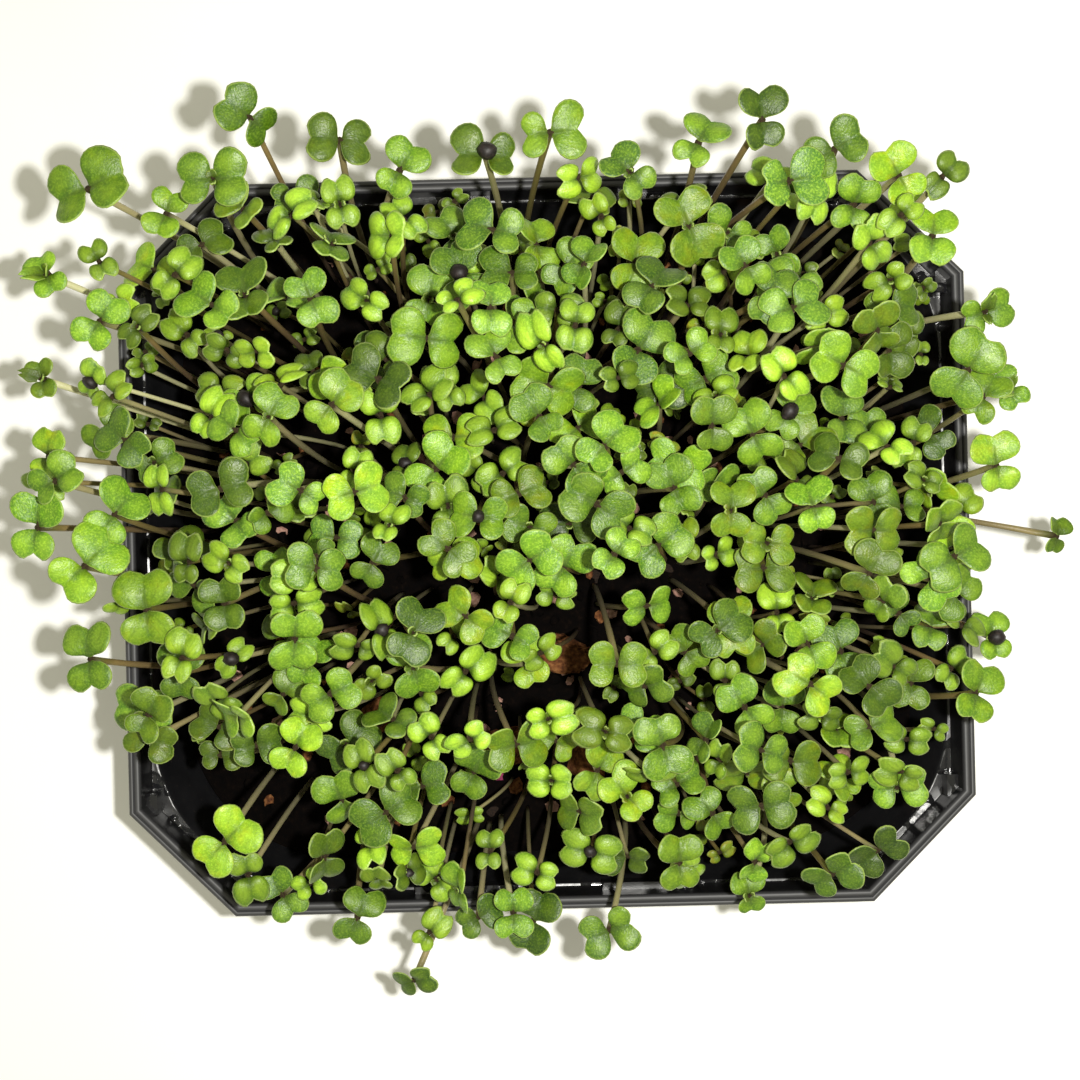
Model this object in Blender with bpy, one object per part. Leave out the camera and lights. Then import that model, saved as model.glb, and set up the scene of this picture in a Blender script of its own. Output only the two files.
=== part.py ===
"""A black eight-sided growing tray filled with potting soil and a crop of brassica microgreens.

The tray's underside is centred on the origin, its long side runs along X and +Z is up.
Lengths are written in millimetres and turned to metres as each mesh is made.
"""
import math
import random

import bpy
from mathutils import Vector, noise
from mathutils.bvhtree import BVHTree

MM = 0.001
GAP = 0.3  # left between two pieces that touch

# Tray
TRAY_LENGTH = 170.0
TRAY_WIDTH = 147.0
TRAY_HEIGHT = 45.0
CHAMFER = 21.0  # leg of the straight corner cut at the rim
WALL = 1.0
RIM_WIDTH = 2.6
SKIRT_DROP = 4.2
SHOULDER_DEPTH = 8.8  # from the rim down to the step in the wall
SHOULDER_INSET = 3.6
SHOULDER_SLOPE = 0.2  # how far the step falls towards the lower wall
FOOT_INSET = 9.6  # inner wall at the floor
FOOT_HEIGHT = 3.6  # where the inner wall starts to turn into the floor
SHOULDER_CORNER = 33.5  # corner radius of the wall below the step
FOOT_CORNER = 30.0
CORNER_STEPS = 6
# Raised bead round the floor: inset and height
BEAD = ((33.0, 0.0), (31.8, 1.0), (29.2, 1.0), (28.0, 0.0))
INNER_BEAD = ((27.4, 0.0), (28.6, 1.0), (32.4, 1.0), (33.6, 0.0))
BEAD_CORNER = 50.0  # the bead's corner radius and inset add up to this
TRAY_SMOOTHING = 30  # degrees
LUG_SIZE = (2.4, 4.4, 5.0)
LUG_INSET = 3.8  # middle of a short lug, in from the rim's edge
LUG_PLACE = 51.0  # along the short walls
LONG_LUG_SIZE = (18.5, 1.7, 4.2)
LONG_LUG_INSET = 3.4
LONG_LUG_PLACE = 19.0
LUG_SINK = 0.3  # how far the lugs reach down into the step

# Potting soil
SOIL_BOTTOM = 2.4
SOIL_EDGE = 19.0  # height where the soil meets the wall
SOIL_LEVEL = 21.0  # mean height of the surface inside that edge
SOIL_BUMP = 1.3
SOIL_BUMP_LENGTH = 13.0
SOIL_SHARES = (0.95, 0.82, 0.66, 0.48, 0.28, 0.12)  # rings of the surface, from the edge inwards
WALL_GAP = 0.45

# Root balls
PLUG_RADIUS = 4.2
PLUG_FOOT_RADIUS = 3.0
PLUG_DEPTH = 9.0
PLUG_SIDES = 6
PLUG_RISE = 0.4  # above the soil
HOLE_OVER = 6.0  # how far a hole is cut on above the soil
ROOT_RING = 2.3  # distance of each stem from its root ball's middle
ROOT_TURN = 70.0  # least angle between two stems round their root ball

# Seedlings
STEM_BASE = 0.8  # half the stem's width at the soil
STEM_NECK = 0.6
STEM_SINK = 2.5
STEM_LEAN = 0.35  # sideways run of a stem, as a share of its rise, from which it bends in more steps
HEAD_TILT = 0.22
BLADE = 0.8  # thickness of a seed leaf
PETIOLE = 0.3
LOBE = ((0.40, 0.10), (0.50, 0.35), (0.27, 0.61))  # across and along, as shares of the width
NOTCH = 0.43
LEAF_MIDDLE = 0.27
LEAF_FOLD = 0.16
LEAF_DROOP = 0.35
LEAF_PITCH = (0.0, 0.5)  # radians up from square to the stem
CLEARANCE = 0.25  # added all round a seedling while its place is tried

# Root ball places and the seedlings that lean over the rim: x, y of the root ball, then for each seedling
# x, y, z of its head, the way its leaves point in degrees, and the width of a seed leaf.
EDGE_CLUMPS = (
    ((-68, 5), ((-91, 5, 80, 80, 11), (-86, 13, 86, 30, 9))),
    ((-66, 22), ((-79, 22, 78, 40, 8), (-92, 32, 72, 110, 6.5))),
    ((-66, -9), ((-80, -2, 90, 45, 12), (-71, -10, 84, 95, 11))),
    ((-65, -25), ((-83, -19, 77, 95, 11), (-72, -29, 80, 60, 9))),
    ((-64, 39), ((-90, 51, 74, 115, 7), (-78, 41, 84, 60, 9))),
    ((-56, 53), ((-79, 64, 86, 20, 12), (-56, 64, 91, 0, 10))),
    ((-35, 57), ((-34, 70, 92, 175, 9), (-24, 65, 90, 60, 9))),
    ((-5, 58), ((-9, 66, 95, 175, 10), (2, 69, 98, 5, 10))),
    ((28, 57), ((27, 67, 97, 60, 9), (37, 69, 103, 95, 9), (42, 60, 98, 10, 10))),
    ((50, 54), ((50, 65, 97, 30, 9), (61, 61, 95, 120, 9))),
    ((64, 41), ((67, 51, 93, 80, 9), (78, 39, 84, 20, 8))),
    ((69, 24), ((73, 28, 91, 60, 11), (84, 26, 76, 120, 7))),
    ((69, 6), ((98, -1, 58, 80, 6), (80, 12, 82, 100, 9))),
    ((69, -12), ((71, -4, 87, 30, 10), (84, -20, 62, 95, 8))),
    ((67, -31), ((77, -29, 76, 70, 9), (63, -46, 73, 10, 9), (57, -27, 80, 130, 9))),
    ((46, -55), ((50, -61, 77, 40, 9), (37, -68, 60, 100, 7), (38, -49, 73, 10, 10))),
    ((15, -57), ((10, -73, 65, 20, 9), (23, -58, 79, 80, 9), (13, -47, 72, 140, 10))),
    ((-13, -57), ((-28, -85, 52, 20, 7), (-8, -70, 62, 90, 8), (-19, -70, 66, 30, 9))),
    ((-39, -55), ((-37, -69, 67, 70, 9), (-52, -66, 60, 120, 9), (-30, -49, 74, 20, 11))),
    ((-54, -41), ((-60, -53, 74, 45, 11), (-62, -38, 66, 0, 7))),
)
INNER_CLUMPS = 20
INNER_REACH = (58.0, 47.0)  # half sizes of the area that the inner root balls stand in
HEAD_REACH = (7.0, 14.0)  # sideways from a root ball to its seedlings' heads
HEAD_SPREAD = 1.08  # heads stand this much farther out than their root balls
HEAD_HEIGHT = (0.82, 1.06)  # as shares of the crop's height there
LEAF_WIDTH = (8.0, 11.0)
TRIES = 400
SEED = 41
PLACE_DRAWS = 60
CHUNK_ROOM = 7.0  # from a chunk's middle to a root ball's
# How far a head may move, at most, while its place is tried; its turn and width change with it
EDGE_WANDER = 5.0
INNER_WANDER = 6.0
TURN_WANDER = 12.0
WIDTH_LOSS = 0.25
# Height of the crop: in the middle, its rise along Y, and its fall at the front and at the ends
CROP_HEIGHT = 88.0
CROP_RISE = 10 / 65
FRONT_FALL = 8 / 25
FRONT_START = 40.0
END_FALL = 6 / 20
END_START = 60.0
# Open places in the crop, where no inner seedling's head stands: x, y and half sizes
GAPS = (
    (-50, -50, 11, 12),
    (-30, -8, 17, 5),
    (-5, -51, 8, 9),
    (24, -9, 7, 5),
    (-63, 12, 5, 12),
    (-41, 19, 5, 8),
    (-70, -50, 15, 15),
    (74, -51, 12, 13),
)

# Loose pieces: x, y, half length, half width, half height, turn in degrees
CHUNKS = (
    (-11, -44, 6.5, 4.2, 3.2, 20),
    (8, -47, 5.2, 4.0, 3.0, 75),
    (3, -24, 6.0, 4.0, 3.0, -15),
    (-38, -37, 5.0, 3.4, 2.6, 50),
)
CHUNK_SINK = 1.2
COAT_RADIUS = 1.5
COAT_LENGTH = 1.12
COAT_LIFT = 0.6  # between a head and the coat on it
COAT_SMOOTHING = 40  # degrees
COAT_PLACES = ((-9, 66), (84, -20), (-52, 26), (-23, 46), (38, 24))

# Colours, sRGB
COLOURS = {
    "black_plastic": ((0.035, 0.035, 0.038), 0.25),
    "potting_soil": ((0.030, 0.024, 0.020), 0.95),
    "coconut_fibre": ((0.30, 0.15, 0.08), 0.90),
    "seed_coat_brown": ((0.035, 0.025, 0.030), 0.50),
    "seed_leaf_green": ((0.30, 0.45, 0.06), 0.50),
}


def clear_scene():
    for obj in list(bpy.data.objects):
        bpy.data.objects.remove(obj, do_unlink=True)


def make_material(name):
    colour, roughness = COLOURS[name]
    material = bpy.data.materials.new(name)
    material.use_nodes = True
    shader = material.node_tree.nodes["Principled BSDF"]
    shader.inputs["Base Color"].default_value = (*colour, 1.0)
    shader.inputs["Roughness"].default_value = roughness
    shader.inputs["Metallic"].default_value = 0.0
    return material


def add_object(name, shape, material, smooth=False):
    points, faces = shape
    mesh = bpy.data.meshes.new(name)
    mesh.from_pydata([Vector(point) * MM for point in points], [], faces)
    mesh.update()
    mesh.materials.append(material)
    if smooth:
        mesh.shade_smooth()
        mesh.set_sharp_from_angle(angle=math.radians(COAT_SMOOTHING))
    obj = bpy.data.objects.new(name, mesh)
    bpy.context.scene.collection.objects.link(obj)
    return obj


def combine(obj, others, operation):
    """Join others to obj, or cut them from it, and remove them."""
    group = bpy.data.collections.new(obj.name + "_others")
    bpy.context.scene.collection.children.link(group)
    for other in others:
        bpy.context.scene.collection.objects.unlink(other)
        group.objects.link(other)
    boolean = obj.modifiers.new(operation.lower(), "BOOLEAN")
    boolean.operation = operation
    boolean.operand_type = "COLLECTION"
    boolean.collection = group
    boolean.solver = "EXACT"
    bpy.context.view_layer.update()
    evaluated = obj.evaluated_get(bpy.context.evaluated_depsgraph_get())
    result = bpy.data.meshes.new_from_object(evaluated)
    obj.modifiers.remove(boolean)
    obj.data = result
    for other in others:
        bpy.data.objects.remove(other, do_unlink=True)
    bpy.data.collections.remove(group)


def ring(inset, z, corner, bulge, side_steps=1):
    """One level of the tray: a rectangle whose corners are cut straight (bulge 0) or round (bulge 1)."""
    half_x = TRAY_LENGTH / 2 - inset
    half_y = TRAY_WIDTH / 2 - inset
    points = []
    for sign_x, sign_y, start in ((1, 1, 0), (-1, 1, 90), (-1, -1, 180), (1, -1, 270)):
        middle = Vector((sign_x * (half_x - corner), sign_y * (half_y - corner), z))
        first = math.radians(start)
        ends = [middle + corner * Vector((math.cos(a), math.sin(a), 0)) for a in (first, first + math.pi / 2)]
        for step in range(CORNER_STEPS + 1):
            share = step / CORNER_STEPS
            angle = first + share * math.pi / 2
            round_point = middle + corner * Vector((math.cos(angle), math.sin(angle), 0))
            points.append(ends[0].lerp(ends[1], share).lerp(round_point, bulge))
    full = []
    for index, point in enumerate(points):
        full.append(point)
        if index % (CORNER_STEPS + 1) == CORNER_STEPS:
            following = points[(index + 1) % len(points)]
            full += [point.lerp(following, step / side_steps) for step in range(1, side_steps)]
    return full


def loft(rings, cap_start=True, cap_end=True):
    """A closed skin through rings of equal count, listed so that the skin faces out."""
    count = len(rings[0])
    points = [point for level in rings for point in level]
    faces = []
    for level in range(len(rings) - 1):
        for step in range(count):
            following = (step + 1) % count
            low = level * count
            high = low + count
            faces.append((low + step, low + following, high + following, high + step))
    if cap_start:
        faces.append(tuple(reversed(range(count))))
    if cap_end:
        faces.append(tuple(range(len(points) - count, len(points))))
    return points, faces


def wall_share(z):
    """How far down the tray's lower wall height z lies: 0 at the step, 1 at the floor."""
    top = TRAY_HEIGHT - SHOULDER_DEPTH - SHOULDER_SLOPE
    return (top - z) / (top - FOOT_HEIGHT)


def wall_inset(z):
    """Inset of the tray's lower wall, inside, at height z."""
    return SHOULDER_INSET + wall_share(z) * (FOOT_INSET - SHOULDER_INSET)


def wall_corner(z):
    return SHOULDER_CORNER + wall_share(z) * (FOOT_CORNER - SHOULDER_CORNER)


def tray_shape():
    """The shell in one run of rings: underside, outer wall, turned-down skirt, rim, inner wall and floor."""
    top = TRAY_HEIGHT
    step_z = top - SHOULDER_DEPTH
    # inset from the rim's edge, height, corner radius, and 0 for a straight cut or 1 for a round corner
    levels = [(inset, z, BEAD_CORNER - inset, 1) for inset, z in BEAD]
    levels += [
        (12.4, 0.0, 28.4, 1),
        (9.9, 1.0, 30.2, 1),
        (FOOT_INSET - WALL, 3.4, FOOT_CORNER + WALL, 1),
        (SHOULDER_INSET - WALL, step_z - 1.2, SHOULDER_CORNER + WALL, 1),
        (2.0, step_z - 0.8, 19.8, 0),
        (1.8, top - WALL, 19.9, 0),
        (0.95, top - WALL, 20.4, 0),
        (0.8, top - SKIRT_DROP, 20.5, 0),
        (0.0, top - SKIRT_DROP, CHAMFER, 0),
        (0.1, top - 0.6, 20.9, 0),
        (0.5, top, 20.7, 0),
        (RIM_WIDTH - 0.4, top, 19.7, 0),
        (RIM_WIDTH, top - 0.5, 19.5, 0),
        (3.0, step_z, 19.2, 0),
        (SHOULDER_INSET, step_z - SHOULDER_SLOPE, SHOULDER_CORNER, 1),
        (FOOT_INSET, FOOT_HEIGHT, FOOT_CORNER, 1),
        (12.4, WALL, 28.4, 1),
    ]
    levels += [(inset, z + WALL, BEAD_CORNER - inset, 1) for inset, z in INNER_BEAD]
    return loft([ring(*level) for level in levels])


def box_shape(centre, size):
    half = Vector(size) / 2
    corners = [Vector((half.x * sx, half.y * sy, 0)) for sx, sy in ((-1, -1), (1, -1), (1, 1), (-1, 1))]
    low = Vector(centre) - Vector((0, 0, half.z))
    high = Vector(centre) + Vector((0, 0, half.z))
    return loft([[low + corner for corner in corners], [high + corner for corner in corners]])


def lug_shapes():
    """Nesting lugs on the step in the wall: a short one by each corner and two long low ones on each long wall."""
    side_x = TRAY_LENGTH / 2 - LUG_INSET
    side_y = TRAY_WIDTH / 2 - LONG_LUG_INSET
    step_z = TRAY_HEIGHT - SHOULDER_DEPTH
    shapes = []
    for sign_x in (-1, 1):
        for sign_y in (-1, 1):
            place = (sign_x * side_x, sign_y * LUG_PLACE, step_z - LUG_SINK + LUG_SIZE[2] / 2)
            shapes.append(box_shape(place, LUG_SIZE))
            place = (sign_x * LONG_LUG_PLACE, sign_y * side_y, step_z - LUG_SINK + LONG_LUG_SIZE[2] / 2)
            shapes.append(box_shape(place, LONG_LUG_SIZE))
    return shapes


def make_tray(material):
    tray = add_object("tray", tray_shape(), material)
    combine(tray, [add_object("lug", shape, material) for shape in lug_shapes()], "UNION")
    tray.data.shade_smooth()
    tray.data.set_sharp_from_angle(angle=math.radians(TRAY_SMOOTHING))
    return tray


def soil_height(x, y):
    """The soil's surface: gentle humps, a little lower towards the four corners."""
    hump = noise.noise(Vector((x, y, 0)) / SOIL_BUMP_LENGTH)
    corner = max(0.0, abs(x) / 78 + abs(y) / 66 - 1.3)
    return SOIL_LEVEL + SOIL_BUMP * hump - 5 * corner


def soil_shape():
    side_steps = 4

    def fitted(z):
        return ring(wall_inset(z) + WALL_GAP, z, wall_corner(z) - WALL_GAP, 1, side_steps)

    foot = ring(13.0, SOIL_BOTTOM, 28.0, 1, side_steps)
    edge = fitted(SOIL_EDGE)
    rings = [foot, fitted(5.0), edge]
    for share in SOIL_SHARES:
        level = []
        for point in edge:
            x = point.x * share
            y = point.y * share
            level.append(Vector((x, y, soil_height(x, y))))
        rings.append(level)
    points, faces = loft(rings, cap_end=False)
    count = len(edge)
    points.append(Vector((0, 0, soil_height(0, 0))))
    last = len(points) - 1
    for step in range(count):
        faces.append((last - count + step, last - count + (step + 1) % count, last))
    return points, faces


def plug_shape(place, spare=0.0, over=0.0):
    """A root ball, or with spare added the hole that it stands in, open upwards by going over the soil."""
    top = soil_height(*place) + PLUG_RISE
    levels = [(PLUG_FOOT_RADIUS, top - PLUG_DEPTH - spare), (PLUG_RADIUS, top)]
    if over:
        levels.append((PLUG_RADIUS, top + over))
    rings = []
    for radius, z in levels:
        size = radius + spare / math.cos(math.pi / PLUG_SIDES)
        angles = [math.tau * side / PLUG_SIDES for side in range(PLUG_SIDES)]
        rings.append([Vector((place[0] + size * math.cos(a), place[1] + size * math.sin(a), z)) for a in angles])
    return loft(rings)


def chunk_shape(chunk, spare=0.0):
    """A torn lump of coconut fibre, half sunk in the soil."""
    x, y, half_length, half_width, half_height, turn = chunk
    centre = Vector((x, y, soil_height(x, y) + CHUNK_SINK))
    angle = math.radians(turn)
    points = []
    rings = []
    for tilt, radius in ((-0.95, 0.45), (-0.45, 0.92), (0.25, 1.0), (0.85, 0.55)):
        level = []
        for side in range(9):
            turn_round = math.tau * side / 9
            direction = Vector((radius * math.cos(turn_round), radius * math.sin(turn_round), tilt))
            rough = 1 + 0.28 * noise.noise(direction * 1.7 + Vector((x, y, 0)))
            across = direction.x * (half_length * rough + spare)
            along = direction.y * (half_width * rough + spare)
            level.append(centre + Vector((
                across * math.cos(angle) - along * math.sin(angle),
                across * math.sin(angle) + along * math.cos(angle),
                tilt * (half_height + spare),
            )))
        rings.append(level)
    return loft(rings)


def curve_point(root, head, share):
    """A point of a stem and its direction: straight up out of the soil, then over towards its head."""
    lean = Vector((head.x - root.x, head.y - root.y, 0))
    rise = head.z - root.z
    arch = min(1.0, max(0.0, lean.length / rise - 0.3) / 0.5)
    first = root + 0.08 * lean + Vector((0, 0, (0.5 + 0.42 * arch) * rise))
    second = head - 0.45 * lean - Vector((0, 0, (0.18 - 0.13 * arch) * rise))
    rest = 1 - share
    point = root * rest**3 + first * 3 * rest**2 * share + second * 3 * rest * share**2 + head * share**3
    along = (first - root) * rest**2 + (second - first) * 2 * rest * share + (head - second) * share**2
    return point, along.normalized()


def cross_frame(direction, side):
    """The two directions square to a stem, kept near the way that its leaves point."""
    side = (side - direction * side.dot(direction)).normalized()
    return side.cross(direction), side


def leaf_faces(points, faces, base, pitch, width, out, side, up, extra):
    """Grow one notched seed leaf from the four corners of the stem's open side."""
    left_top, right_top, left_low, right_low = base
    along = out * math.cos(pitch) + up * math.sin(pitch)
    normal = along.cross(side)
    start = (points[left_top] + points[right_top]) / 2
    size = width + 2 * extra
    outline = [*LOBE, (0.0, NOTCH), *((-x, y) for x, y in reversed(LOBE))]

    def place(x, y, depth):
        cup = LEAF_FOLD * abs(x) - LEAF_DROOP * y * y
        return start + along * (PETIOLE + y * size) + side * (x * size) + normal * (cup * size - depth)

    top = [right_top]
    low = [right_low]
    for x, y in outline:
        top.append(len(points))
        points.append(place(x, y, 0.0))
        low.append(len(points))
        points.append(place(x, y, BLADE + 2 * extra))
    top.append(left_top)
    low.append(left_low)
    top_middle = len(points)
    points.append(place(0.0, LEAF_MIDDLE, 0.0))
    low_middle = len(points)
    points.append(place(0.0, LEAF_MIDDLE, BLADE + 2 * extra))
    count = len(top)
    for step in range(count):
        following = (step + 1) % count
        faces.append((top_middle, top[following], top[step]))
        faces.append((low_middle, low[step], low[following]))
        if step < count - 1:
            faces.append((low[following], low[step], top[step], top[following]))


def seedling_shape(seedling, extra=0.0):
    """A square stem whose top block opens on two sides into a pair of seed leaves."""
    root = seedling["root"]
    head = seedling["head"]
    up = seedling["up"]
    turn = math.radians(seedling["turn"])
    side_hint = Vector((-math.sin(turn), math.cos(turn), 0))
    leaning = (head - root).xy.length > STEM_LEAN * (head.z - root.z)
    steps = 4 if leaning else 3
    levels = []
    for step in range(steps):
        point, direction = curve_point(root, head, step / steps)
        if step == 0:
            point = root - Vector((0, 0, STEM_SINK))
        half = STEM_BASE + (STEM_NECK - STEM_BASE) * step / steps
        levels.append((point, *cross_frame(direction, side_hint), half + extra))
    out, side = cross_frame(up, side_hint)
    levels.append((head - up * (BLADE + extra), out, side, STEM_NECK + extra))
    levels.append((head + up * extra, out, side, STEM_NECK + extra))
    points = []
    for point, ring_out, ring_side, half in levels:
        for sign_out, sign_side in ((1, -1), (1, 1), (-1, 1), (-1, -1)):
            points.append(point + (ring_out * sign_out + ring_side * sign_side) * half)
    faces = [(3, 2, 1, 0)]
    for level in range(len(levels) - 1):
        low = 4 * level
        open_sides = (0, 2) if level == len(levels) - 2 else ()
        for corner in range(4):
            if corner not in open_sides:
                following = (corner + 1) % 4
                faces.append((low + corner, low + following, low + 4 + following, low + 4 + corner))
    top = len(points) - 4
    neck = top - 4
    faces.append((top, top + 1, top + 2, top + 3))
    for corner, sign, pitch in ((0, 1, seedling["pitch"][0]), (2, -1, seedling["pitch"][1])):
        base = (top + corner, top + corner + 1, neck + corner, neck + corner + 1)
        leaf_faces(points, faces, base, pitch, seedling["width"][corner // 2], out * sign, side * sign, up, extra)
    return points, faces


def tree_of(shape):
    points, faces = shape
    return BVHTree.FromPolygons(points, faces)


def touches(tree, others):
    return any(tree.overlap(other) for other in others)


def root_angles(place, heads):
    """The way round the root ball that each stem stands, in radians: towards its head, but spread apart."""
    angles = [math.atan2(head[1] - place[1], head[0] - place[0]) for head in heads]
    middle = math.atan2(sum(math.sin(a) for a in angles), sum(math.cos(a) for a in angles))
    order = sorted(range(len(heads)), key=lambda one: math.remainder(angles[one] - middle, math.tau))
    spread = {one: rank - (len(heads) - 1) / 2 for rank, one in enumerate(order)}
    return [middle + math.radians(ROOT_TURN) * spread[one] for one in range(len(heads))]


def draw_seedling(draw, place, root_angle, head, turn, width):
    """One seedling whose root stands on its root ball's top, on the side that it leans to."""
    away = Vector((head[0] - place[0], head[1] - place[1], 0))
    foot = Vector((place[0], place[1], soil_height(*place) + PLUG_RISE))
    tip = Vector(head)
    lean = away.length / (tip.z - foot.z)
    up = Vector((0, 0, 1)) + away.normalized() * min(0.5, 0.4 * lean)
    up += Vector((draw.uniform(-HEAD_TILT, HEAD_TILT), draw.uniform(-HEAD_TILT, HEAD_TILT), 0))
    second = draw.uniform(0.8, 1.0)
    return {
        "root": foot + Vector((math.cos(root_angle), math.sin(root_angle), 0)) * ROOT_RING,
        "head": tip,
        "up": up.normalized(),
        "turn": turn,
        "pitch": (draw.uniform(*LEAF_PITCH), draw.uniform(*LEAF_PITCH)),
        "width": (width, width * second),
    }


def fit_seedling(draw, place, root_angle, wanted, taken, wander):
    """Draw a seedling until its slightly fattened shape is clear of all that stands already."""
    for attempt in range(TRIES):
        loose = wander * attempt / TRIES
        x, y, z, turn, width = wanted
        head = (
            x + draw.uniform(-loose, loose),
            y + draw.uniform(-loose, loose),
            z + 1.5 * draw.uniform(-loose, loose),
        )
        shrink = 1 - WIDTH_LOSS * attempt / TRIES
        turned = turn + TURN_WANDER * draw.uniform(-loose, loose)
        seedling = draw_seedling(draw, place, root_angle, head, turned, width * shrink)
        tree = tree_of(seedling_shape(seedling, CLEARANCE))
        if not touches(tree, taken):
            taken.append(tree)
            return seedling
    return None


def in_gap(x, y):
    return any(((x - gap[0]) / gap[2]) ** 2 + ((y - gap[1]) / gap[3]) ** 2 < 1 for gap in GAPS)


def far_place(draw, places):
    """A place for a root ball, far from the others and clear of the loose chunks."""
    best = None
    best_room = 0.0
    for _ in range(PLACE_DRAWS):
        x = draw.uniform(-INNER_REACH[0], INNER_REACH[0])
        y = draw.uniform(-INNER_REACH[1], INNER_REACH[1])
        room = min(math.dist((x, y), place) for place in places)
        to_chunk = min(math.dist((x, y), chunk[:2]) for chunk in CHUNKS)
        room = min(room, 2 * (to_chunk - CHUNK_ROOM))
        if room > best_room:
            best_room = room
            best = (x, y)
    return best


def canopy(x, y):
    """Height of the crop's top: tallest along the back, shorter along the front and at the ends."""
    front = FRONT_FALL * max(0.0, -y - FRONT_START)
    end = END_FALL * max(0.0, abs(x) - END_START)
    return CROP_HEIGHT + CROP_RISE * y - front - end


def inner_head(draw, place, angle):
    """A head on one side of its root ball, clear of the open places: x, y, z, turn and leaf width."""
    for _ in range(TRIES):
        reach = draw.uniform(*HEAD_REACH)
        turned = angle + draw.uniform(-0.4, 0.4)
        x = place[0] * HEAD_SPREAD + reach * math.cos(turned)
        y = place[1] * HEAD_SPREAD + reach * math.sin(turned)
        if not in_gap(x, y):
            break
    z = canopy(x, y) * draw.uniform(*HEAD_HEIGHT)
    return x, y, z, draw.uniform(0, 180), draw.uniform(*LEAF_WIDTH)


def plan_clumps(taken):
    """Every root ball with its seedlings: the ones over the rim first, then the inner ones by seeded draws."""
    draw = random.Random(SEED)
    clumps = [(place, []) for place, _ in EDGE_CLUMPS]
    for _ in range(INNER_CLUMPS):
        clumps.append((far_place(draw, [place for place, _ in clumps]), []))
    for place, _ in clumps:
        taken.append(tree_of(plug_shape(place)))
    plugs = taken[-len(clumps):]
    for index, (place, heads) in enumerate(EDGE_CLUMPS):
        others = [tree for tree in taken if tree is not plugs[index]]
        for angle, wanted in zip(root_angles(place, heads), heads):
            seedling = fit_seedling(draw, place, angle, wanted, others, EDGE_WANDER)
            if seedling:
                taken.append(others[-1])
                clumps[index][1].append(seedling)
    for index in range(len(EDGE_CLUMPS), len(clumps)):
        place = clumps[index][0]
        others = [tree for tree in taken if tree is not plugs[index]]
        first = draw.uniform(0, math.tau)
        count = draw.choice((3, 3, 4))
        for spoke in range(count):
            angle = first + math.tau * spoke / count
            wanted = inner_head(draw, place, angle)
            seedling = fit_seedling(draw, place, angle, wanted, others, INNER_WANDER)
            if seedling:
                taken.append(others[-1])
                clumps[index][1].append(seedling)
    return clumps


def coat_shape(centre, radius):
    """A shed seed coat: a small dark ball, slightly longer than wide."""
    sides = 8
    rings = []
    for tilt in (-66, -25, 25, 66):
        z = radius * math.sin(math.radians(tilt))
        size = radius * math.cos(math.radians(tilt))
        angles = [math.tau * side / sides for side in range(sides)]
        rings.append([
            centre + Vector((COAT_LENGTH * size * math.cos(a), size * math.sin(a), z)) for a in angles
        ])
    return loft(rings)


def place_coats(clumps, taken):
    """Put each coat on the seedling nearest to its place whose middle has room for it."""
    seedlings = [seedling for _, heads in clumps for seedling in heads]
    shapes = []
    for place in COAT_PLACES:
        for seedling in sorted(seedlings, key=lambda one: math.dist(one["head"].xy, place)):
            centre = seedling["head"] + seedling["up"] * (COAT_RADIUS + COAT_LIFT)
            shape = coat_shape(centre, COAT_RADIUS)
            tree = tree_of(coat_shape(centre, COAT_RADIUS + GAP))
            own = tree_of(seedling_shape(seedling))
            others = [one for one in taken if not one.overlap(own)]
            if not touches(tree, others) and not tree.overlap(own):
                shapes.append(shape)
                taken.append(tree)
                break
    return shapes


def make_clump(name, place, seedlings, material):
    clump = add_object(name, plug_shape(place), material)
    stems = [add_object("stem", seedling_shape(seedling), material) for seedling in seedlings]
    combine(clump, stems, "UNION")
    return clump


def make_soil(clumps, material):
    soil = add_object("soil", soil_shape(), material)
    cutters = [add_object("hole", plug_shape(place, GAP, HOLE_OVER), material) for place, _ in clumps]
    cutters += [add_object("pocket", chunk_shape(chunk, GAP), material) for chunk in CHUNKS]
    combine(soil, cutters, "DIFFERENCE")
    return soil


def main():
    clear_scene()
    materials = {name: make_material(name) for name in COLOURS}
    make_tray(materials["black_plastic"])
    for number, chunk in enumerate(CHUNKS, 1):
        add_object(f"coir_chunk_{number}", chunk_shape(chunk), materials["coconut_fibre"])
    taken = [tree_of(shape) for shape in (tray_shape(), *lug_shapes())]
    taken += [tree_of(chunk_shape(chunk, GAP)) for chunk in CHUNKS]
    clumps = [clump for clump in plan_clumps(taken) if clump[1]]
    make_soil(clumps, materials["potting_soil"])
    for number, shape in enumerate(place_coats(clumps, taken), 1):
        add_object(f"seed_coat_{number}", shape, materials["seed_coat_brown"], smooth=True)
    for number, (place, seedlings) in enumerate(clumps, 1):
        make_clump(f"clump_{number:02d}", place, seedlings, materials["seed_leaf_green"])


main()
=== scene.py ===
"""Looks for a tray of brassica microgreens: thermoformed tray, damp potting mix and some 500 seedlings.

Lengths are written in millimetres and turned to metres as each mesh is made.
"""
import math
import random

import bpy
import numpy as np
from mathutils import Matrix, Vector, noise
from mathutils.bvhtree import BVHTree


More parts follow.
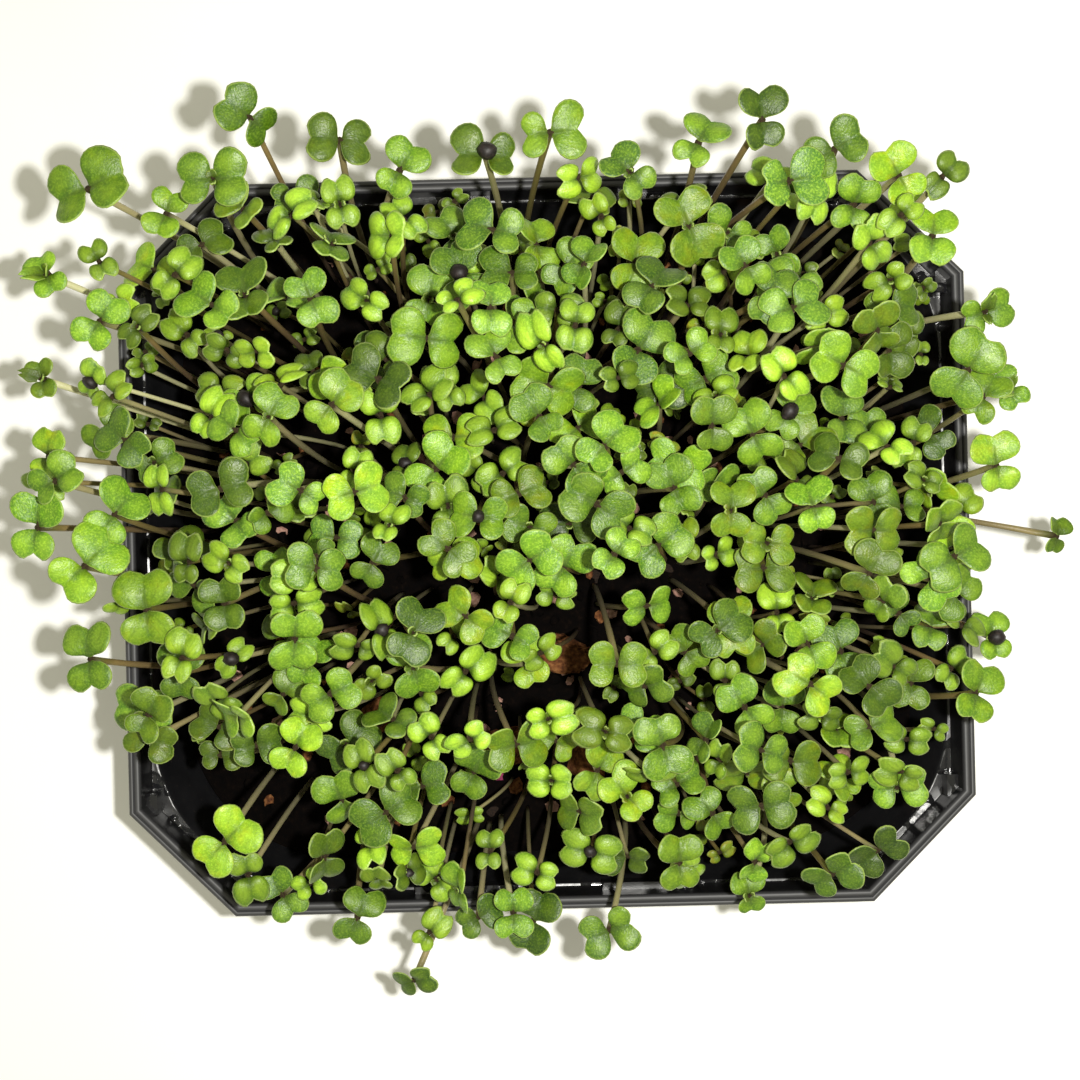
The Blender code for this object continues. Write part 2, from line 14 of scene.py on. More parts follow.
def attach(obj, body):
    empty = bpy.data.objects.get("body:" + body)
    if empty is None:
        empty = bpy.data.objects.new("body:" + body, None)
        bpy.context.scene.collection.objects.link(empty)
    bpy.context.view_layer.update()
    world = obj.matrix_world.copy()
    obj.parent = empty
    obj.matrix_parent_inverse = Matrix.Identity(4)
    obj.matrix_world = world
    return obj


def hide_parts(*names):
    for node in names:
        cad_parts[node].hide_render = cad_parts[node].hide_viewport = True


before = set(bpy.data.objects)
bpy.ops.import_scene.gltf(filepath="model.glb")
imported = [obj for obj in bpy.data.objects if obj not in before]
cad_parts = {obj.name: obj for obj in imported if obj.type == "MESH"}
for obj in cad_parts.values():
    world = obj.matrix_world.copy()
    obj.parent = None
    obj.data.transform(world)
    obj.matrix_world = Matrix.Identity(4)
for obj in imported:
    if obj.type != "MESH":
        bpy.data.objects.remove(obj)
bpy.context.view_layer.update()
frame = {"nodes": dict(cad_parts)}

MM = 0.001
GAP = 0.3  # left between two pieces that touch

# Camera: straight above the tray and turned a little
CAMERA_PLACE = (-1.286, 0.631, 375.0)
CAMERA_TURN = -1.36
LENS = 55.0
SENSOR = 36.0
CLIP_NEAR = 5.0
CLIP_FAR = 20000.0

# A small flash beside the lens, and the room's own light
FLASH_OFFSET = 26.0
FLASH_SIZE = 9.0
FLASH_POWER = 1.55
FLASH_COLOUR = "#fffdf6"
ROOM_LIGHT = 0.54
ROOM_COLOUR = "#fffbe0"
FLOOR_REACH = 3000.0

# Tray
TRAY_LENGTH = 170.0
TRAY_WIDTH = 147.0
TRAY_HEIGHT = 45.0
CHAMFER = 21.0  # leg of the straight corner cut at the rim
WALL = 1.0
RIM_WIDTH = 2.6
SKIRT_DROP = 4.2
SHOULDER_DEPTH = 8.8  # from the rim down to the step in the wall
SHOULDER_INSET = 3.6
SHOULDER_SLOPE = 0.2  # how far the step falls towards the lower wall
FOOT_INSET = 9.6  # inner wall at the floor
FOOT_HEIGHT = 3.6  # where the inner wall starts to turn into the floor
SHOULDER_CORNER = 33.5  # corner radius of the wall below the step
FOOT_CORNER = 30.0
CORNER_STEPS = 6
# Raised bead round the floor: inset and height
BEAD = ((33.0, 0.0), (31.8, 1.0), (29.2, 1.0), (28.0, 0.0))
INNER_BEAD = ((27.4, 0.0), (28.6, 1.0), (32.4, 1.0), (33.6, 0.0))
BEAD_CORNER = 50.0  # the bead's corner radius and inset add up to this
TRAY_SMOOTHING = 40  # degrees between two faces from which their edge stays sharp
LUG_SIZE = (2.4, 4.4, 5.0)
LUG_INSET = 3.8  # middle of a short lug, in from the rim's edge
LUG_PLACE = 51.0  # along the short walls
LONG_LUG_SIZE = (18.5, 1.7, 4.2)
LONG_LUG_INSET = 3.4
LONG_LUG_PLACE = 19.0
LUG_SINK = 0.3  # how far the lugs reach down into the step

# Potting soil
SOIL_BOTTOM = 2.4
SOIL_EDGE = 19.0  # height where the soil meets the wall
SOIL_LEVEL = 21.0  # mean height of the surface inside that edge
SOIL_BUMP = 1.3
SOIL_BUMP_LENGTH = 13.0
# The surface falls off towards the corners: half sizes, where the fall starts and how steep it is
SOIL_CORNER_SIZE = (78, 66)
SOIL_CORNER_START = 1.3
SOIL_CORNER_FALL = 5
WALL_GAP = 0.45

# Root balls
PLUG_RADIUS = 4.2
PLUG_FOOT_RADIUS = 3.0
PLUG_DEPTH = 9.0
PLUG_SIDES = 6
PLUG_RISE = 0.4  # above the soil
ROOT_RING = 2.3  # distance of each stem from its root ball's middle
ROOT_TURN = 70.0  # least angle between two stems round their root ball

# Seedlings
STEM_BASE = 0.8  # half the stem's width at the soil
STEM_NECK = 0.6
STEM_SINK = 2.5
STEM_LEAN = 0.35  # sideways run of a stem, as a share of its rise, from which it bends in more steps
STEM_STEPS = (3, 4)  # of an upright stem and a leaning one
ARCH_START = 0.3  # lean, as a share of the rise, from which a stem arches over, and the span of its growth
ARCH_SPAN = 0.5
# Handles of a stem's curve: shares of its lean and rise, and how much an arch adds to the one or takes off
# the other
FIRST_HANDLE = (0.08, 0.5, 0.42)
LAST_HANDLE = (0.45, 0.18, 0.13)  # back from the head
HEAD_TILT = 0.22
HEAD_FOLLOW = 0.4  # how far a head tips with the lean of its stem, and the most that it does
HEAD_FOLLOW_MOST = 0.5
BLADE = 0.8  # thickness of a seed leaf
PETIOLE = 0.3
LOBE = ((0.40, 0.10), (0.50, 0.35), (0.27, 0.61))  # across and along, as shares of the width
NOTCH = 0.43
LEAF_MIDDLE = 0.27
LEAF_FOLD = 0.16
LEAF_DROOP = 0.35
LEAF_PITCH = (0.0, 0.5)  # radians up from square to the stem
SECOND_LEAF = (0.8, 1.0)  # width as a share of the first leaf's
CLEARANCE = 0.25  # added all round a seedling while its place is tried

# Root ball places and the seedlings that lean over the rim: x, y of the root ball, then for each seedling
# x, y, z of its head, the way its leaves point in degrees, and the width of a seed leaf.
EDGE_CLUMPS = (
    ((-68, 5), ((-91, 5, 80, 80, 11), (-86, 13, 86, 30, 9))),
    ((-66, 22), ((-79, 22, 78, 40, 8), (-92, 32, 72, 110, 6.5))),
    ((-66, -9), ((-80, -2, 90, 45, 12), (-71, -10, 84, 95, 11))),
    ((-65, -25), ((-83, -19, 77, 95, 11), (-72, -29, 80, 60, 9))),
    ((-64, 39), ((-90, 51, 74, 115, 7), (-78, 41, 84, 60, 9))),
    ((-56, 53), ((-79, 64, 86, 20, 12), (-56, 64, 91, 0, 10))),
    ((-35, 57), ((-34, 70, 92, 175, 9), (-24, 65, 90, 60, 9))),
    ((-5, 58), ((-9, 66, 95, 175, 10), (2, 69, 98, 5, 10))),
    ((28, 57), ((27, 67, 97, 60, 9), (37, 69, 103, 95, 9), (42, 60, 98, 10, 10))),
    ((50, 54), ((50, 65, 97, 30, 9), (61, 61, 95, 120, 9))),
    ((64, 41), ((67, 51, 93, 80, 9), (78, 39, 84, 20, 8))),
    ((69, 24), ((73, 28, 91, 60, 11), (84, 26, 76, 120, 7))),
    ((69, 6), ((98, -1, 58, 80, 6), (80, 12, 82, 100, 9))),
    ((69, -12), ((71, -4, 87, 30, 10), (84, -20, 62, 95, 8))),
    ((67, -31), ((77, -29, 76, 70, 9), (63, -46, 73, 10, 9), (57, -27, 80, 130, 9))),
    ((46, -55), ((50, -61, 77, 40, 9), (37, -68, 60, 100, 7), (38, -49, 73, 10, 10))),
    ((15, -57), ((10, -73, 65, 20, 9), (23, -58, 79, 80, 9), (13, -47, 72, 140, 10))),
    ((-13, -57), ((-28, -85, 52, 20, 7), (-8, -70, 62, 90, 8), (-19, -70, 66, 30, 9))),
    ((-39, -55), ((-37, -69, 67, 70, 9), (-52, -66, 60, 120, 9), (-30, -49, 74, 20, 11))),
    ((-54, -41), ((-60, -53, 74, 45, 11), (-62, -38, 66, 0, 7))),
)
INNER_CLUMPS = 20
INNER_COUNTS = (3, 3, 4)  # seedlings of an inner root ball, one of these by draw
INNER_REACH = (58.0, 47.0)  # half sizes of the area that the inner root balls stand in
HEAD_REACH = (7.0, 14.0)  # sideways from a root ball to its seedlings' heads
HEAD_SWING = 0.4  # radians either side of its stem's way round the root ball
HEAD_SPREAD = 1.08  # heads stand this much farther out than their root balls
HEAD_HEIGHT = (0.82, 1.06)  # as shares of the crop's height there
LEAF_WIDTH = (8.0, 11.0)
TRIES = 400
SEED = 41
PLACE_DRAWS = 60
CHUNK_ROOM = 7.0  # from a chunk's middle to a root ball's
CHUNK_WEIGHT = 2  # how much more that room counts than the one between two root balls
# How far a head may move, at most, while its place is tried; its turn and width change with it
EDGE_WANDER = 5.0
INNER_WANDER = 6.0
HEIGHT_WANDER = 1.5
TURN_WANDER = 12.0
WIDTH_LOSS = 0.25
# Height of the crop: in the middle, its rise along Y, and its fall at the front and at the ends
CROP_HEIGHT = 88.0
CROP_RISE = 10 / 65
FRONT_FALL = 8 / 25
FRONT_START = 40.0
END_FALL = 6 / 20
END_START = 60.0
# Open places in the crop, where no inner seedling's head stands: x, y and half sizes
GAPS = (
    (-50, -50, 11, 12),
    (-30, -8, 17, 5),
    (-5, -51, 8, 9),
    (24, -9, 7, 5),
    (-63, 12, 5, 12),
    (-41, 19, 5, 8),
    (-70, -50, 15, 15),
    (74, -51, 12, 13),
)

# Loose pieces: x, y, half length, half width, half height, turn in degrees
CHUNKS = (
    (-11, -44, 6.5, 4.2, 3.2, 20),
    (8, -47, 5.2, 4.0, 3.0, 75),
    (3, -24, 6.0, 4.0, 3.0, -15),
    (-38, -37, 5.0, 3.4, 2.6, 50),
)
CHUNK_SINK = 1.2
CHUNK_SIDES = 9
CHUNK_RINGS = ((-0.95, 0.45), (-0.45, 0.92), (0.25, 1.0), (0.85, 0.55))  # height and radius, as shares
CHUNK_ROUGHNESS = 0.28
CHUNK_GRAIN = 1.7
COAT_RADIUS = 1.5
COAT_LENGTH = 1.12
COAT_LIFT = 0.6  # between a head and the coat on it
COAT_SIDES = 8
COAT_TILTS = (-66, -25, 25, 66)  # degrees up from its middle
COAT_PLACES = ((-9, 66), (84, -20), (-52, 26), (-23, 46), (38, 24))

# Finer forms
FINE_CORNER_STEPS = 20
EDGE_ROUNDING = 0.9
ARC_SHARE = 0.45  # the most of the run beside a corner that its rounding takes
ARC_STEPS = 4
SHORTEST_RUN = 1e-6
CUT_SHARE = 2 - math.sqrt(2)  # how fast the leg of the corner cut shortens with the inset
LIP_GROOVE = ((1.1, 0.0), (1.28, 0.5), (1.46, 0.0))  # inset and depth of a groove along the rim
# Levels that soften the step's outer edge: inset, drop below the step, corner radius, and straight or round
STEP_EDGE = ((3.05, 0.02, 19.17, 0), (3.2, 0.1, SHOULDER_CORNER - 0.8, 1))
SPOKES = 32
# Outline of a seed leaf about its middle: degrees from the notch, reach as a share of the width
OUTLINE = (
    (0, 0.15), (19, 0.21), (30, 0.32), (41, 0.41), (55, 0.466), (69, 0.499),
    (83, 0.5035), (95, 0.482), (111, 0.427), (129, 0.348), (154, 0.277), (180, 0.29),
)
OUTLINE_MIDDLE = 0.28
NOTCH_SPREAD = 28.0  # degrees either side of the notch in which it is made shallower
NOTCH_FILL = 0.75  # the most that it is made shallower, as a share
# Form of a puffed leaf and of an open one: puff of its lobes, fold, droop and wave of the margin, each as a
# fixed part and the range that is drawn and added
PUFFED_BLADE = {
    "puff": (0.0, 0.12, 0.19), "fold": (LEAF_FOLD, -0.22, 0.06), "droop": (0.0, 0.8, 1.7),
    "wave": (0.0, 0.004, 0.012),
}
OPEN_BLADE = {
    "puff": (0.0, 0.0, 0.07), "fold": (LEAF_FOLD, -0.12, 0.28), "droop": (LEAF_DROOP, -0.1, 0.5),
    "wave": (0.0, 0.012, 0.034),
}
MARGIN_WAVES = (3, 4, 5)
LOBE_SIZES = (0.88, 1.05)
LEAF_SKEW = 0.1
# Middle of each of a blade's lobes, across and along it, their half length, and their half widths outwards
# and inwards as they are puffed and as they take their painted highlight
LOBE_MIDDLE = (0.25, 0.33)
LOBE_LENGTH = 0.36
PUFF_SPREAD = (0.25, 0.33)
HIGHLIGHT_SPREAD = (0.28, 0.34)
LEAST_HIGHLIGHT = 0.4  # painted highlight of lobes that aren't puffed
FULL_PUFF = 0.14  # puff from which lobes take the full painted highlight
FOLD_ROUNDING = 0.02
JAGS = 9  # teeth round a jagged leaf
POINT_LENGTH = 0.6  # along the blade, over which a true leaf narrows to its tip
# Darker line of the midrib, painted shade in its fold: half width, where it ends along the blade and how long
# it fades
RIB_WIDTH = 0.045
RIB_END = 0.5
RIB_FADE = 0.3
TOP_RINGS = (0.3, 0.55, 0.78, 0.94)
LOW_RINGS = (0.94, 0.6)
FINE_BLADE = 0.42
JAGGED_FROM = 2.5  # width from which a true leaf is jagged
VEIN_ROOT = 0.12  # where the veins meet, behind the base of the blade
STEM_RINGS = 11
STEM_SIDES = 8
STEM_RADIUS = 0.56  # at the soil
STEM_GAIN = 0.04  # up to the head
NECK_GAIN = 0.25
NECK_START = 0.8  # share of the stem from which its neck widens
STEM_UNEVENNESS = 0.05
TOP_DROP = 0.15
STALK_START = (0.2, 0.1)  # out from the stem's middle, as a share of its neck, and up
SHORT_STALK = 0.05
LONG_STALK = 0.25
STALK_SIDES = 6
MIDRIB = ((0.14, 0.28), (0.32, 0.1))  # share of the blade's width along it, and radius
# First true leaves
BUD_LIFT = 0.2
BUD_SWING = 25  # degrees
BUD_PITCHES = ((0.5, 1.1), (0.9, 1.35))
SECOND_BUD_LEAF = 0.6
BUD_STALK = 0.2
BUD_TONE = 0.5  # of the seed leaves' tone, so they are yellower
JAGGED_FORM = {"stretch": 2.2, "jag": 0.08, "point": 0.6}
# Lumps
LUMP_TILTS = (-68, -28, 12, 50)  # degrees up from the middle
LUMP_GRAIN = 1.6
MARKS = ("tone", "blade", "along", "edge", "rib", "under", "tint", "earth", "fan", "reach", "lobe", "shade")

# Further seedlings between the root balls
EXTRAS = 405
EXTRA_SEED = 7
EXTRA_TRIES = 40
CROP_REACH = (77.0, 64.0)
CROP_CORNER = 24.0
SOIL_REACH = (73.0, 61.0)
SOIL_CORNER = SHOULDER_CORNER - 4
ROOM_BETWEEN_ROOTS = 2.4
PLACE_CHOICES = 5  # places drawn for each head, of which the farthest from the others is taken
EXTRA_CLEARANCE = 0.05
OUTER_WANDER = 3
# One draw says whether a seedling is young, and whether its leaves are puffed
YOUNG_SHARE = 0.12
PUFFED_SHARE = 0.45
YOUNG_HEIGHTS = (0.45, 0.75)  # as shares of the crop's height there
GROWN_HEIGHTS = (0.74, 1.03)
OUTER_LEAN = 0.22  # how much nearer to the tray's middle a root stands than its head
INNER_LEAN = 0.12
ROOT_TRIES = 20
ROOT_SCATTER = 3.2
STRONG_TILT = 0.55  # of a head, sideways over up
STRONG_TILT_SHARE = 0.35
SLIGHT_TILT = 0.2
OUTWARD_TILT = 0.0022  # for each millimetre from the tray's middle
YOUNG_WIDTHS = (3.0, 5.0, 4.0)  # least, most and likeliest width of a seed leaf
PUFFED_WIDTHS = (5.2, 8.4, 6.6)
OPEN_WIDTHS = (7.2, 10.4, 8.6)
UNEQUAL_LEAF = (0.76, 1.0)
PUFFED_PITCHES = (0.5, 0.9)
OPEN_PITCHES = (-0.05, 0.45)
YOUNG_STEMS = (0.6, 0.75)  # thickness as a share of a full stem's
GROWN_STEMS = (0.7, 0.92)
# Heads of further seedlings where the photo shows them, some of them out over the rim: x, y and z
OUTER_HEADS = (
    (-89, 20, 76), (-94, 13, 72), (-80, 50, 84), (-74, -31, 74), (-50, 72, 90), (70, 62, 92), (-6, -70, 58),
    (-31, -48, 74), (-36, -42, 78), (-26, -54, 70), (-34, -56, 70), (-20, -61, 70), (13, -44, 76),
    (18, -40, 78), (60, -60, 66), (-68, 62, 86), (-34, -64, 66), (-26, -62, 68), (-41, -60, 68),
    (-22, -72, 60), (-53, -68, 60), (-77, 32, 84),
)
JAGGED_PLACES = ((-93, 33), (-91, 52), (82, 28), (79, 40))  # seedlings with larger true leaves
JAGGED_REACH = 6
JAGGED_WIDTHS = (3.2, 4.4)
PALE_PLACES = ((-90, 51), (-92, 32), (-77, 32), (-45, -34))  # seedlings with cream stems
PALE_REACH = 4
PALE_TINT = 2.0
MAUVE_PLACE = (-12.0, -49.0)  # a mauve seed husk on the soil
MAUVE_LIFT = 2.2
MAUVE_SIZE = (2.0, 1.3, 0.9)
MAUVE_ROUGHNESS = 0.3
# Further open places: x, y and half sizes
INNER_GAPS = ((-67, 31, 7.5, 8.5), (76, -60, 12, 9), (8, -17, 10, 10), (30, -12, 9, 8), (50, -68, 14, 9))
BACK_CROWDING = 0.3  # how much denser the crop is at the back than in the middle

# Soil, crumbs and torn fibre
SOIL_SIDE_STEPS = 22
SOIL_CORNER_STEPS = 16
SOIL_RINGS = 46
SOIL_FOOT_INSET = 13.0
SOIL_FOOT_CORNER = 28.0
SOIL_FOOT_TOP = 5.0  # height where the soil's side meets the wall
CRUMB_LENGTHS = (3.1, 1.4)
FINE_CRUMBS = 0.6  # height of the finer crumbs as a share of the others'
CRUMB_HEIGHT = 0.9
CRUMB_FADE = 0.06  # share of the way in over which the crumbs start
# Loose bits: piece, material, slot, number, sizes and thickness as a share of the size
CRUMBS = (
    ("soil_crumbs", "potting_soil", "potting_soil", 900, (0.5, 1.7), (0.6, 0.9)),
    ("fibre_bits", "coconut_fibre", "coconut_fibre", 90, (0.6, 1.8), (0.6, 0.9)),
    ("chaff_bits", "chaff", "seed_coat", 120, (0.7, 1.8), (0.25, 0.45)),
)
CRUMB_WIDTH = (0.55, 0.95)
CRUMB_LIFT = 0.4
CRUMB_ROUGHNESS = 0.6
CRUMB_SIDES = 7
FINE_CHUNK_SIDES = 22
FINE_CHUNK_RINGS = 13
FINE_CHUNK_TILT = 1.35  # radians from its middle to its first and last ring
TORN_ROUGHNESS = 0.16
TORN_GRAIN = 6
CHUNK_FIBRES = 26
FIBRE_HEIGHT = 0.72  # of its lump's half height
FIBRE_SPREAD = 0.5
FIBRE_LENGTHS = (2.5, 6.0)
FIBRE_POINTS = 6
FIBRE_BEND = 0.6
FIBRE_DROOP = 4.4
FIBRE_RADIUS = 0.16
FIBRE_SIDES = 5
MIX_SMOOTHING = 50  # degrees
SKIN_SMOOTHING = 60
SKIN_SIDES = 14
COAT_ROUGHNESS = 0.18
LOOSE_COATS = 14
LOOSE_COAT_SIZES = (0.9, 1.4)
LOOSE_COAT_LIFT = 0.2
LOOSE_COAT_ROUGHNESS = 0.25
LOOSE_COAT_SIDES = 12
BALL_ROUGHNESS = 0.15
BALL_SIDES = 12

# Tone of each seedling, 0 yellow to 1 deep green: patches of it, then its own draw
TONE_PATCH = 28.0  # length of a patch
TONE_MIDDLE = 0.52
TONE_SWING = 0.35
TONE_SPREAD = 0.2
YOUNG_TONES = (0.26, 0.4)
YOUNG_GREEN_SHARE = 0.75
YELLOW_TONE = 0.04
STEM_TINTS = (0.0, 0.0, 0.1, 0.2, 0.35, 0.7)
LOW_LIGHT = 0.64  # painted shade: colour of a leaf at the soil, against one at the top of the crop
LIGHTS = (0.38, 1.42)  # least and most
LIGHT_DRAW = (0.88, 0.32)  # mean and spread
BUD_SHARE = 0.15
BUD_WIDTHS = (1.2, 2.4)

# Finishes. Grains of the living tissue: size in millimetres, detail and roughness
SEEDLING_GRAINS = (
    ("mottle", 2.2, 3.0, 0.5), ("cells", 0.35, 2.0, 0.5), ("wax", 11.0, 1.0, 0.5), ("frost", 0.4, 4.0, 0.7),
)
VEINS_ROUND = 7.0
VEINS_OUT = 0.45
BLADE_GREENS = (
    (0.0, "#b0922c"), (0.08, "#8a980c"), (0.28, "#6a8c0e"), (0.5, "#4f7611"), (0.75, "#3f6414"),
    (1.0, "#33561b"),
)
# Stem colour from the soil up: tan browns, darkened at the soil with painted shade and at the head with the
# stalks' brown and painted shade
STEM_BROWNS_AND_SHADE = ((0.0, "#2a211c"), (0.4, "#4f4133"), (0.86, "#78663f"), (0.95, "#484816"), (1.0, "#281d06"))
BALL_BROWNS = ((0.3, "#0e0906"), (0.7, "#2b1d13"))
TRAY_BLACKS = ((0.3, "#141416"), (0.7, "#1f1f21"))
LIP_FROM = 1.4  # how far below its top the rim's painted grey sheen starts, and where it is full
LIP_TO = 0.7
# Earthy matter: material, grain in millimetres, colours, roughness, depth of its skin in millimetres, and
# its gloss where that isn't the usual one
EARTHY_MATTER = {
    # damp peat potting mix: almost black with brown crumbs
    "potting_soil": (
        "damp_peat_potting_mix", 1.2, ((0.35, "#020101"), (0.6, "#070403"), (0.85, "#160e09")),
        1.0, 0.4, 0.08,
    ),
    # torn coconut fibre: red brown, dry and matt
    "coconut_fibre": (
        "torn_coconut_fibre", 0.9, ((0.3, "#3a2013"), (0.5, "#6b4225"), (0.75, "#94683f")), 0.95, 0.35, 0.2,
    ),
    # shed seed skins: dark brown, slightly shiny
    "seed_coat": (
        "shed_brassica_seed_skin", 0.6, ((0.3, "#0b0808"), (0.6, "#1c1413"), (0.85, "#3c302b")), 0.6, 0.06,
    ),
    # skin of a red seed: mauve, dry and slightly shiny
    "mauve_husk": (
        "mauve_seed_husk", 0.8, ((0.3, "#4a1830"), (0.6, "#8a3358"), (0.85, "#a85a74")), 0.6, 0.06,
    ),
    # chaff of the mix: pale pinkish brown flakes
    "chaff": ("dry_bark_chaff", 0.8, ((0.3, "#7c584c"), (0.6, "#ad8777"), (0.8, "#ccab9b")), 0.9, 0.1),
}


def ring(inset, z, corner, bulge, side_steps=1, corner_steps=CORNER_STEPS):
    """One level of the tray: a rectangle whose corners are cut straight (bulge 0) or round (bulge 1)."""
    half_x = TRAY_LENGTH / 2 - inset
    half_y = TRAY_WIDTH / 2 - inset
    points = []
    for sign_x, sign_y, start in ((1, 1, 0), (-1, 1, 90), (-1, -1, 180), (1, -1, 270)):
        middle = Vector((sign_x * (half_x - corner), sign_y * (half_y - corner), z))
        first = math.radians(start)
        ends = [middle + corner * Vector((math.cos(a), math.sin(a), 0)) for a in (first, first + math.pi / 2)]
        for step in range(corner_steps + 1):
            share = step / corner_steps
            angle = first + share * math.pi / 2
            round_point = middle + corner * Vector((math.cos(angle), math.sin(angle), 0))
            points.append(ends[0].lerp(ends[1], share).lerp(round_point, bulge))
    full = []
    for index, point in enumerate(points):
        full.append(point)
        if index % (corner_steps + 1) == corner_steps:
            following = points[(index + 1) % len(points)]
            full += [point.lerp(following, step / side_steps) for step in range(1, side_steps)]
    return full


def loft(rings, cap_start=True, cap_end=True):
    """A closed skin through rings of equal count, listed so that the skin faces out."""
    count = len(rings[0])
    points = [point for level in rings for point in level]
    faces = []
    for level in range(len(rings) - 1):
        for step in range(count):
            following = (step + 1) % count
            low = level * count
            high = low + count
            faces.append((low + step, low + following, high + following, high + step))
    if cap_start:
        faces.append(tuple(reversed(range(count))))
    if cap_end:
        faces.append(tuple(range(len(points) - count, len(points))))
    return points, faces


def wall_share(z):
    """How far down the tray's lower wall height z lies: 0 at the step, 1 at the floor."""
    top = TRAY_HEIGHT - SHOULDER_DEPTH - SHOULDER_SLOPE
    return (top - z) / (top - FOOT_HEIGHT)


def wall_inset(z):
    """Inset of the tray's lower wall, inside, at height z."""
    return SHOULDER_INSET + wall_share(z) * (FOOT_INSET - SHOULDER_INSET)


def wall_corner(z):
    return SHOULDER_CORNER + wall_share(z) * (FOOT_CORNER - SHOULDER_CORNER)


def tray_levels():
    """The shell in one run of levels: underside, outer wall, turned-down skirt, rim, inner wall and floor."""
    top = TRAY_HEIGHT
    step_z = top - SHOULDER_DEPTH
    # inset from the rim's edge, height, corner radius, and 0 for a straight cut or 1 for a round corner
    levels = [(inset, z, BEAD_CORNER - inset, 1) for inset, z in BEAD]
    levels += [
        (12.4, 0.0, 28.4, 1),
        (9.9, 1.0, 30.2, 1),
        (FOOT_INSET - WALL, 3.4, FOOT_CORNER + WALL, 1),
        (SHOULDER_INSET - WALL, step_z - 1.2, SHOULDER_CORNER + WALL, 1),
        (2.0, step_z - 0.8, 19.8, 0),
        (1.8, top - WALL, 19.9, 0),
        (0.95, top - WALL, 20.4, 0),
        (0.8, top - SKIRT_DROP, 20.5, 0),
        (0.0, top - SKIRT_DROP, CHAMFER, 0),
        (0.1, top - 0.6, 20.9, 0),
        (0.5, top, 20.7, 0),
        (RIM_WIDTH - 0.4, top, 19.7, 0),
        (RIM_WIDTH, top - 0.5, 19.5, 0),
        (3.0, step_z, 19.2, 0),
        (SHOULDER_INSET, step_z - SHOULDER_SLOPE, SHOULDER_CORNER, 1),
        (FOOT_INSET, FOOT_HEIGHT, FOOT_CORNER, 1),
        (12.4, WALL, 28.4, 1),
    ]
    levels += [(inset, z + WALL, BEAD_CORNER - inset, 1) for inset, z in INNER_BEAD]
    return levels


def tray_shape():
    return loft([ring(*level) for level in tray_levels()])


def box_shape(centre, size):
    half = Vector(size) / 2
    corners = [Vector((half.x * sx, half.y * sy, 0)) for sx, sy in ((-1, -1), (1, -1), (1, 1), (-1, 1))]
    low = Vector(centre) - Vector((0, 0, half.z))
    high = Vector(centre) + Vector((0, 0, half.z))
    return loft([[low + corner for corner in corners], [high + corner for corner in corners]])


def lug_shapes():
    """Nesting lugs on the wall's step: a short one by each corner and two long low ones on each long wall."""
    side_x = TRAY_LENGTH / 2 - LUG_INSET
    side_y = TRAY_WIDTH / 2 - LONG_LUG_INSET
    low = TRAY_HEIGHT - SHOULDER_DEPTH - LUG_SINK
    shapes = []
    for sign_x in (-1, 1):
        for sign_y in (-1, 1):
            short = (sign_x * side_x, sign_y * LUG_PLACE, low + LUG_SIZE[2] / 2)
            long = (sign_x * LONG_LUG_PLACE, sign_y * side_y, low + LONG_LUG_SIZE[2] / 2)
            shapes += [box_shape(short, LUG_SIZE), box_shape(long, LONG_LUG_SIZE)]
    return shapes


def soil_height(x, y):
    """The soil's surface: gentle humps, a little lower towards the four corners."""
    hump = noise.noise(Vector((x, y, 0)) / SOIL_BUMP_LENGTH)
    corner = max(0.0, abs(x) / SOIL_CORNER_SIZE[0] + abs(y) / SOIL_CORNER_SIZE[1] - SOIL_CORNER_START)
    return SOIL_LEVEL + SOIL_BUMP * hump - SOIL_CORNER_FALL * corner


def plug_shape(place):
    """A root ball: a plug that narrows downwards, with its top just above the soil."""
    top = soil_height(*place) + PLUG_RISE
    x, y = place
    angles = [math.tau * side / PLUG_SIDES for side in range(PLUG_SIDES)]
    rings = []
    for size, z in ((PLUG_FOOT_RADIUS, top - PLUG_DEPTH), (PLUG_RADIUS, top)):
        rings.append([Vector((x + size * math.cos(a), y + size * math.sin(a), z)) for a in angles])
    return loft(rings)


def chunk_shape(chunk, spare=0.0):
    """A torn lump of coconut fibre, half sunk in the soil."""
    x, y, half_length, half_width, half_height, turn = chunk
    centre = Vector((x, y, soil_height(x, y) + CHUNK_SINK))
    angle = math.radians(turn)
    rings = []
    for tilt, radius in CHUNK_RINGS:
        level = []
        for side in range(CHUNK_SIDES):
            turn_round = math.tau * side / CHUNK_SIDES
            direction = Vector((radius * math.cos(turn_round), radius * math.sin(turn_round), tilt))
            rough = 1 + CHUNK_ROUGHNESS * noise.noise(direction * CHUNK_GRAIN + Vector((x, y, 0)))
            across = direction.x * (half_length * rough + spare)
            along = direction.y * (half_width * rough + spare)
            level.append(centre + Vector((
                across * math.cos(angle) - along * math.sin(angle),
                across * math.sin(angle) + along * math.cos(angle),
                tilt * (half_height + spare),
            )))
        rings.append(level)
    return loft(rings)


def curve_point(root, head, share):
    """A point of a stem and its direction: straight up out of the soil, then over towards its head."""
    lean = Vector((head.x - root.x, head.y - root.y, 0))
    rise = head.z - root.z
    arch = min(1.0, max(0.0, lean.length / rise - ARCH_START) / ARCH_SPAN)
    out, up, more = FIRST_HANDLE
    first = root + out * lean + Vector((0, 0, (up + more * arch) * rise))
    back, down, less = LAST_HANDLE
    second = head - back * lean - Vector((0, 0, (down - less * arch) * rise))
    rest = 1 - share
    point = root * rest**3 + first * 3 * rest**2 * share + second * 3 * rest * share**2 + head * share**3
    along = (first - root) * rest**2 + (second - first) * 2 * rest * share + (head - second) * share**2
    return point, along.normalized()


def cross_frame(direction, side):
    """The two directions square to a stem, kept near the way that its leaves point."""
    side = (side - direction * side.dot(direction)).normalized()
    return side.cross(direction), side


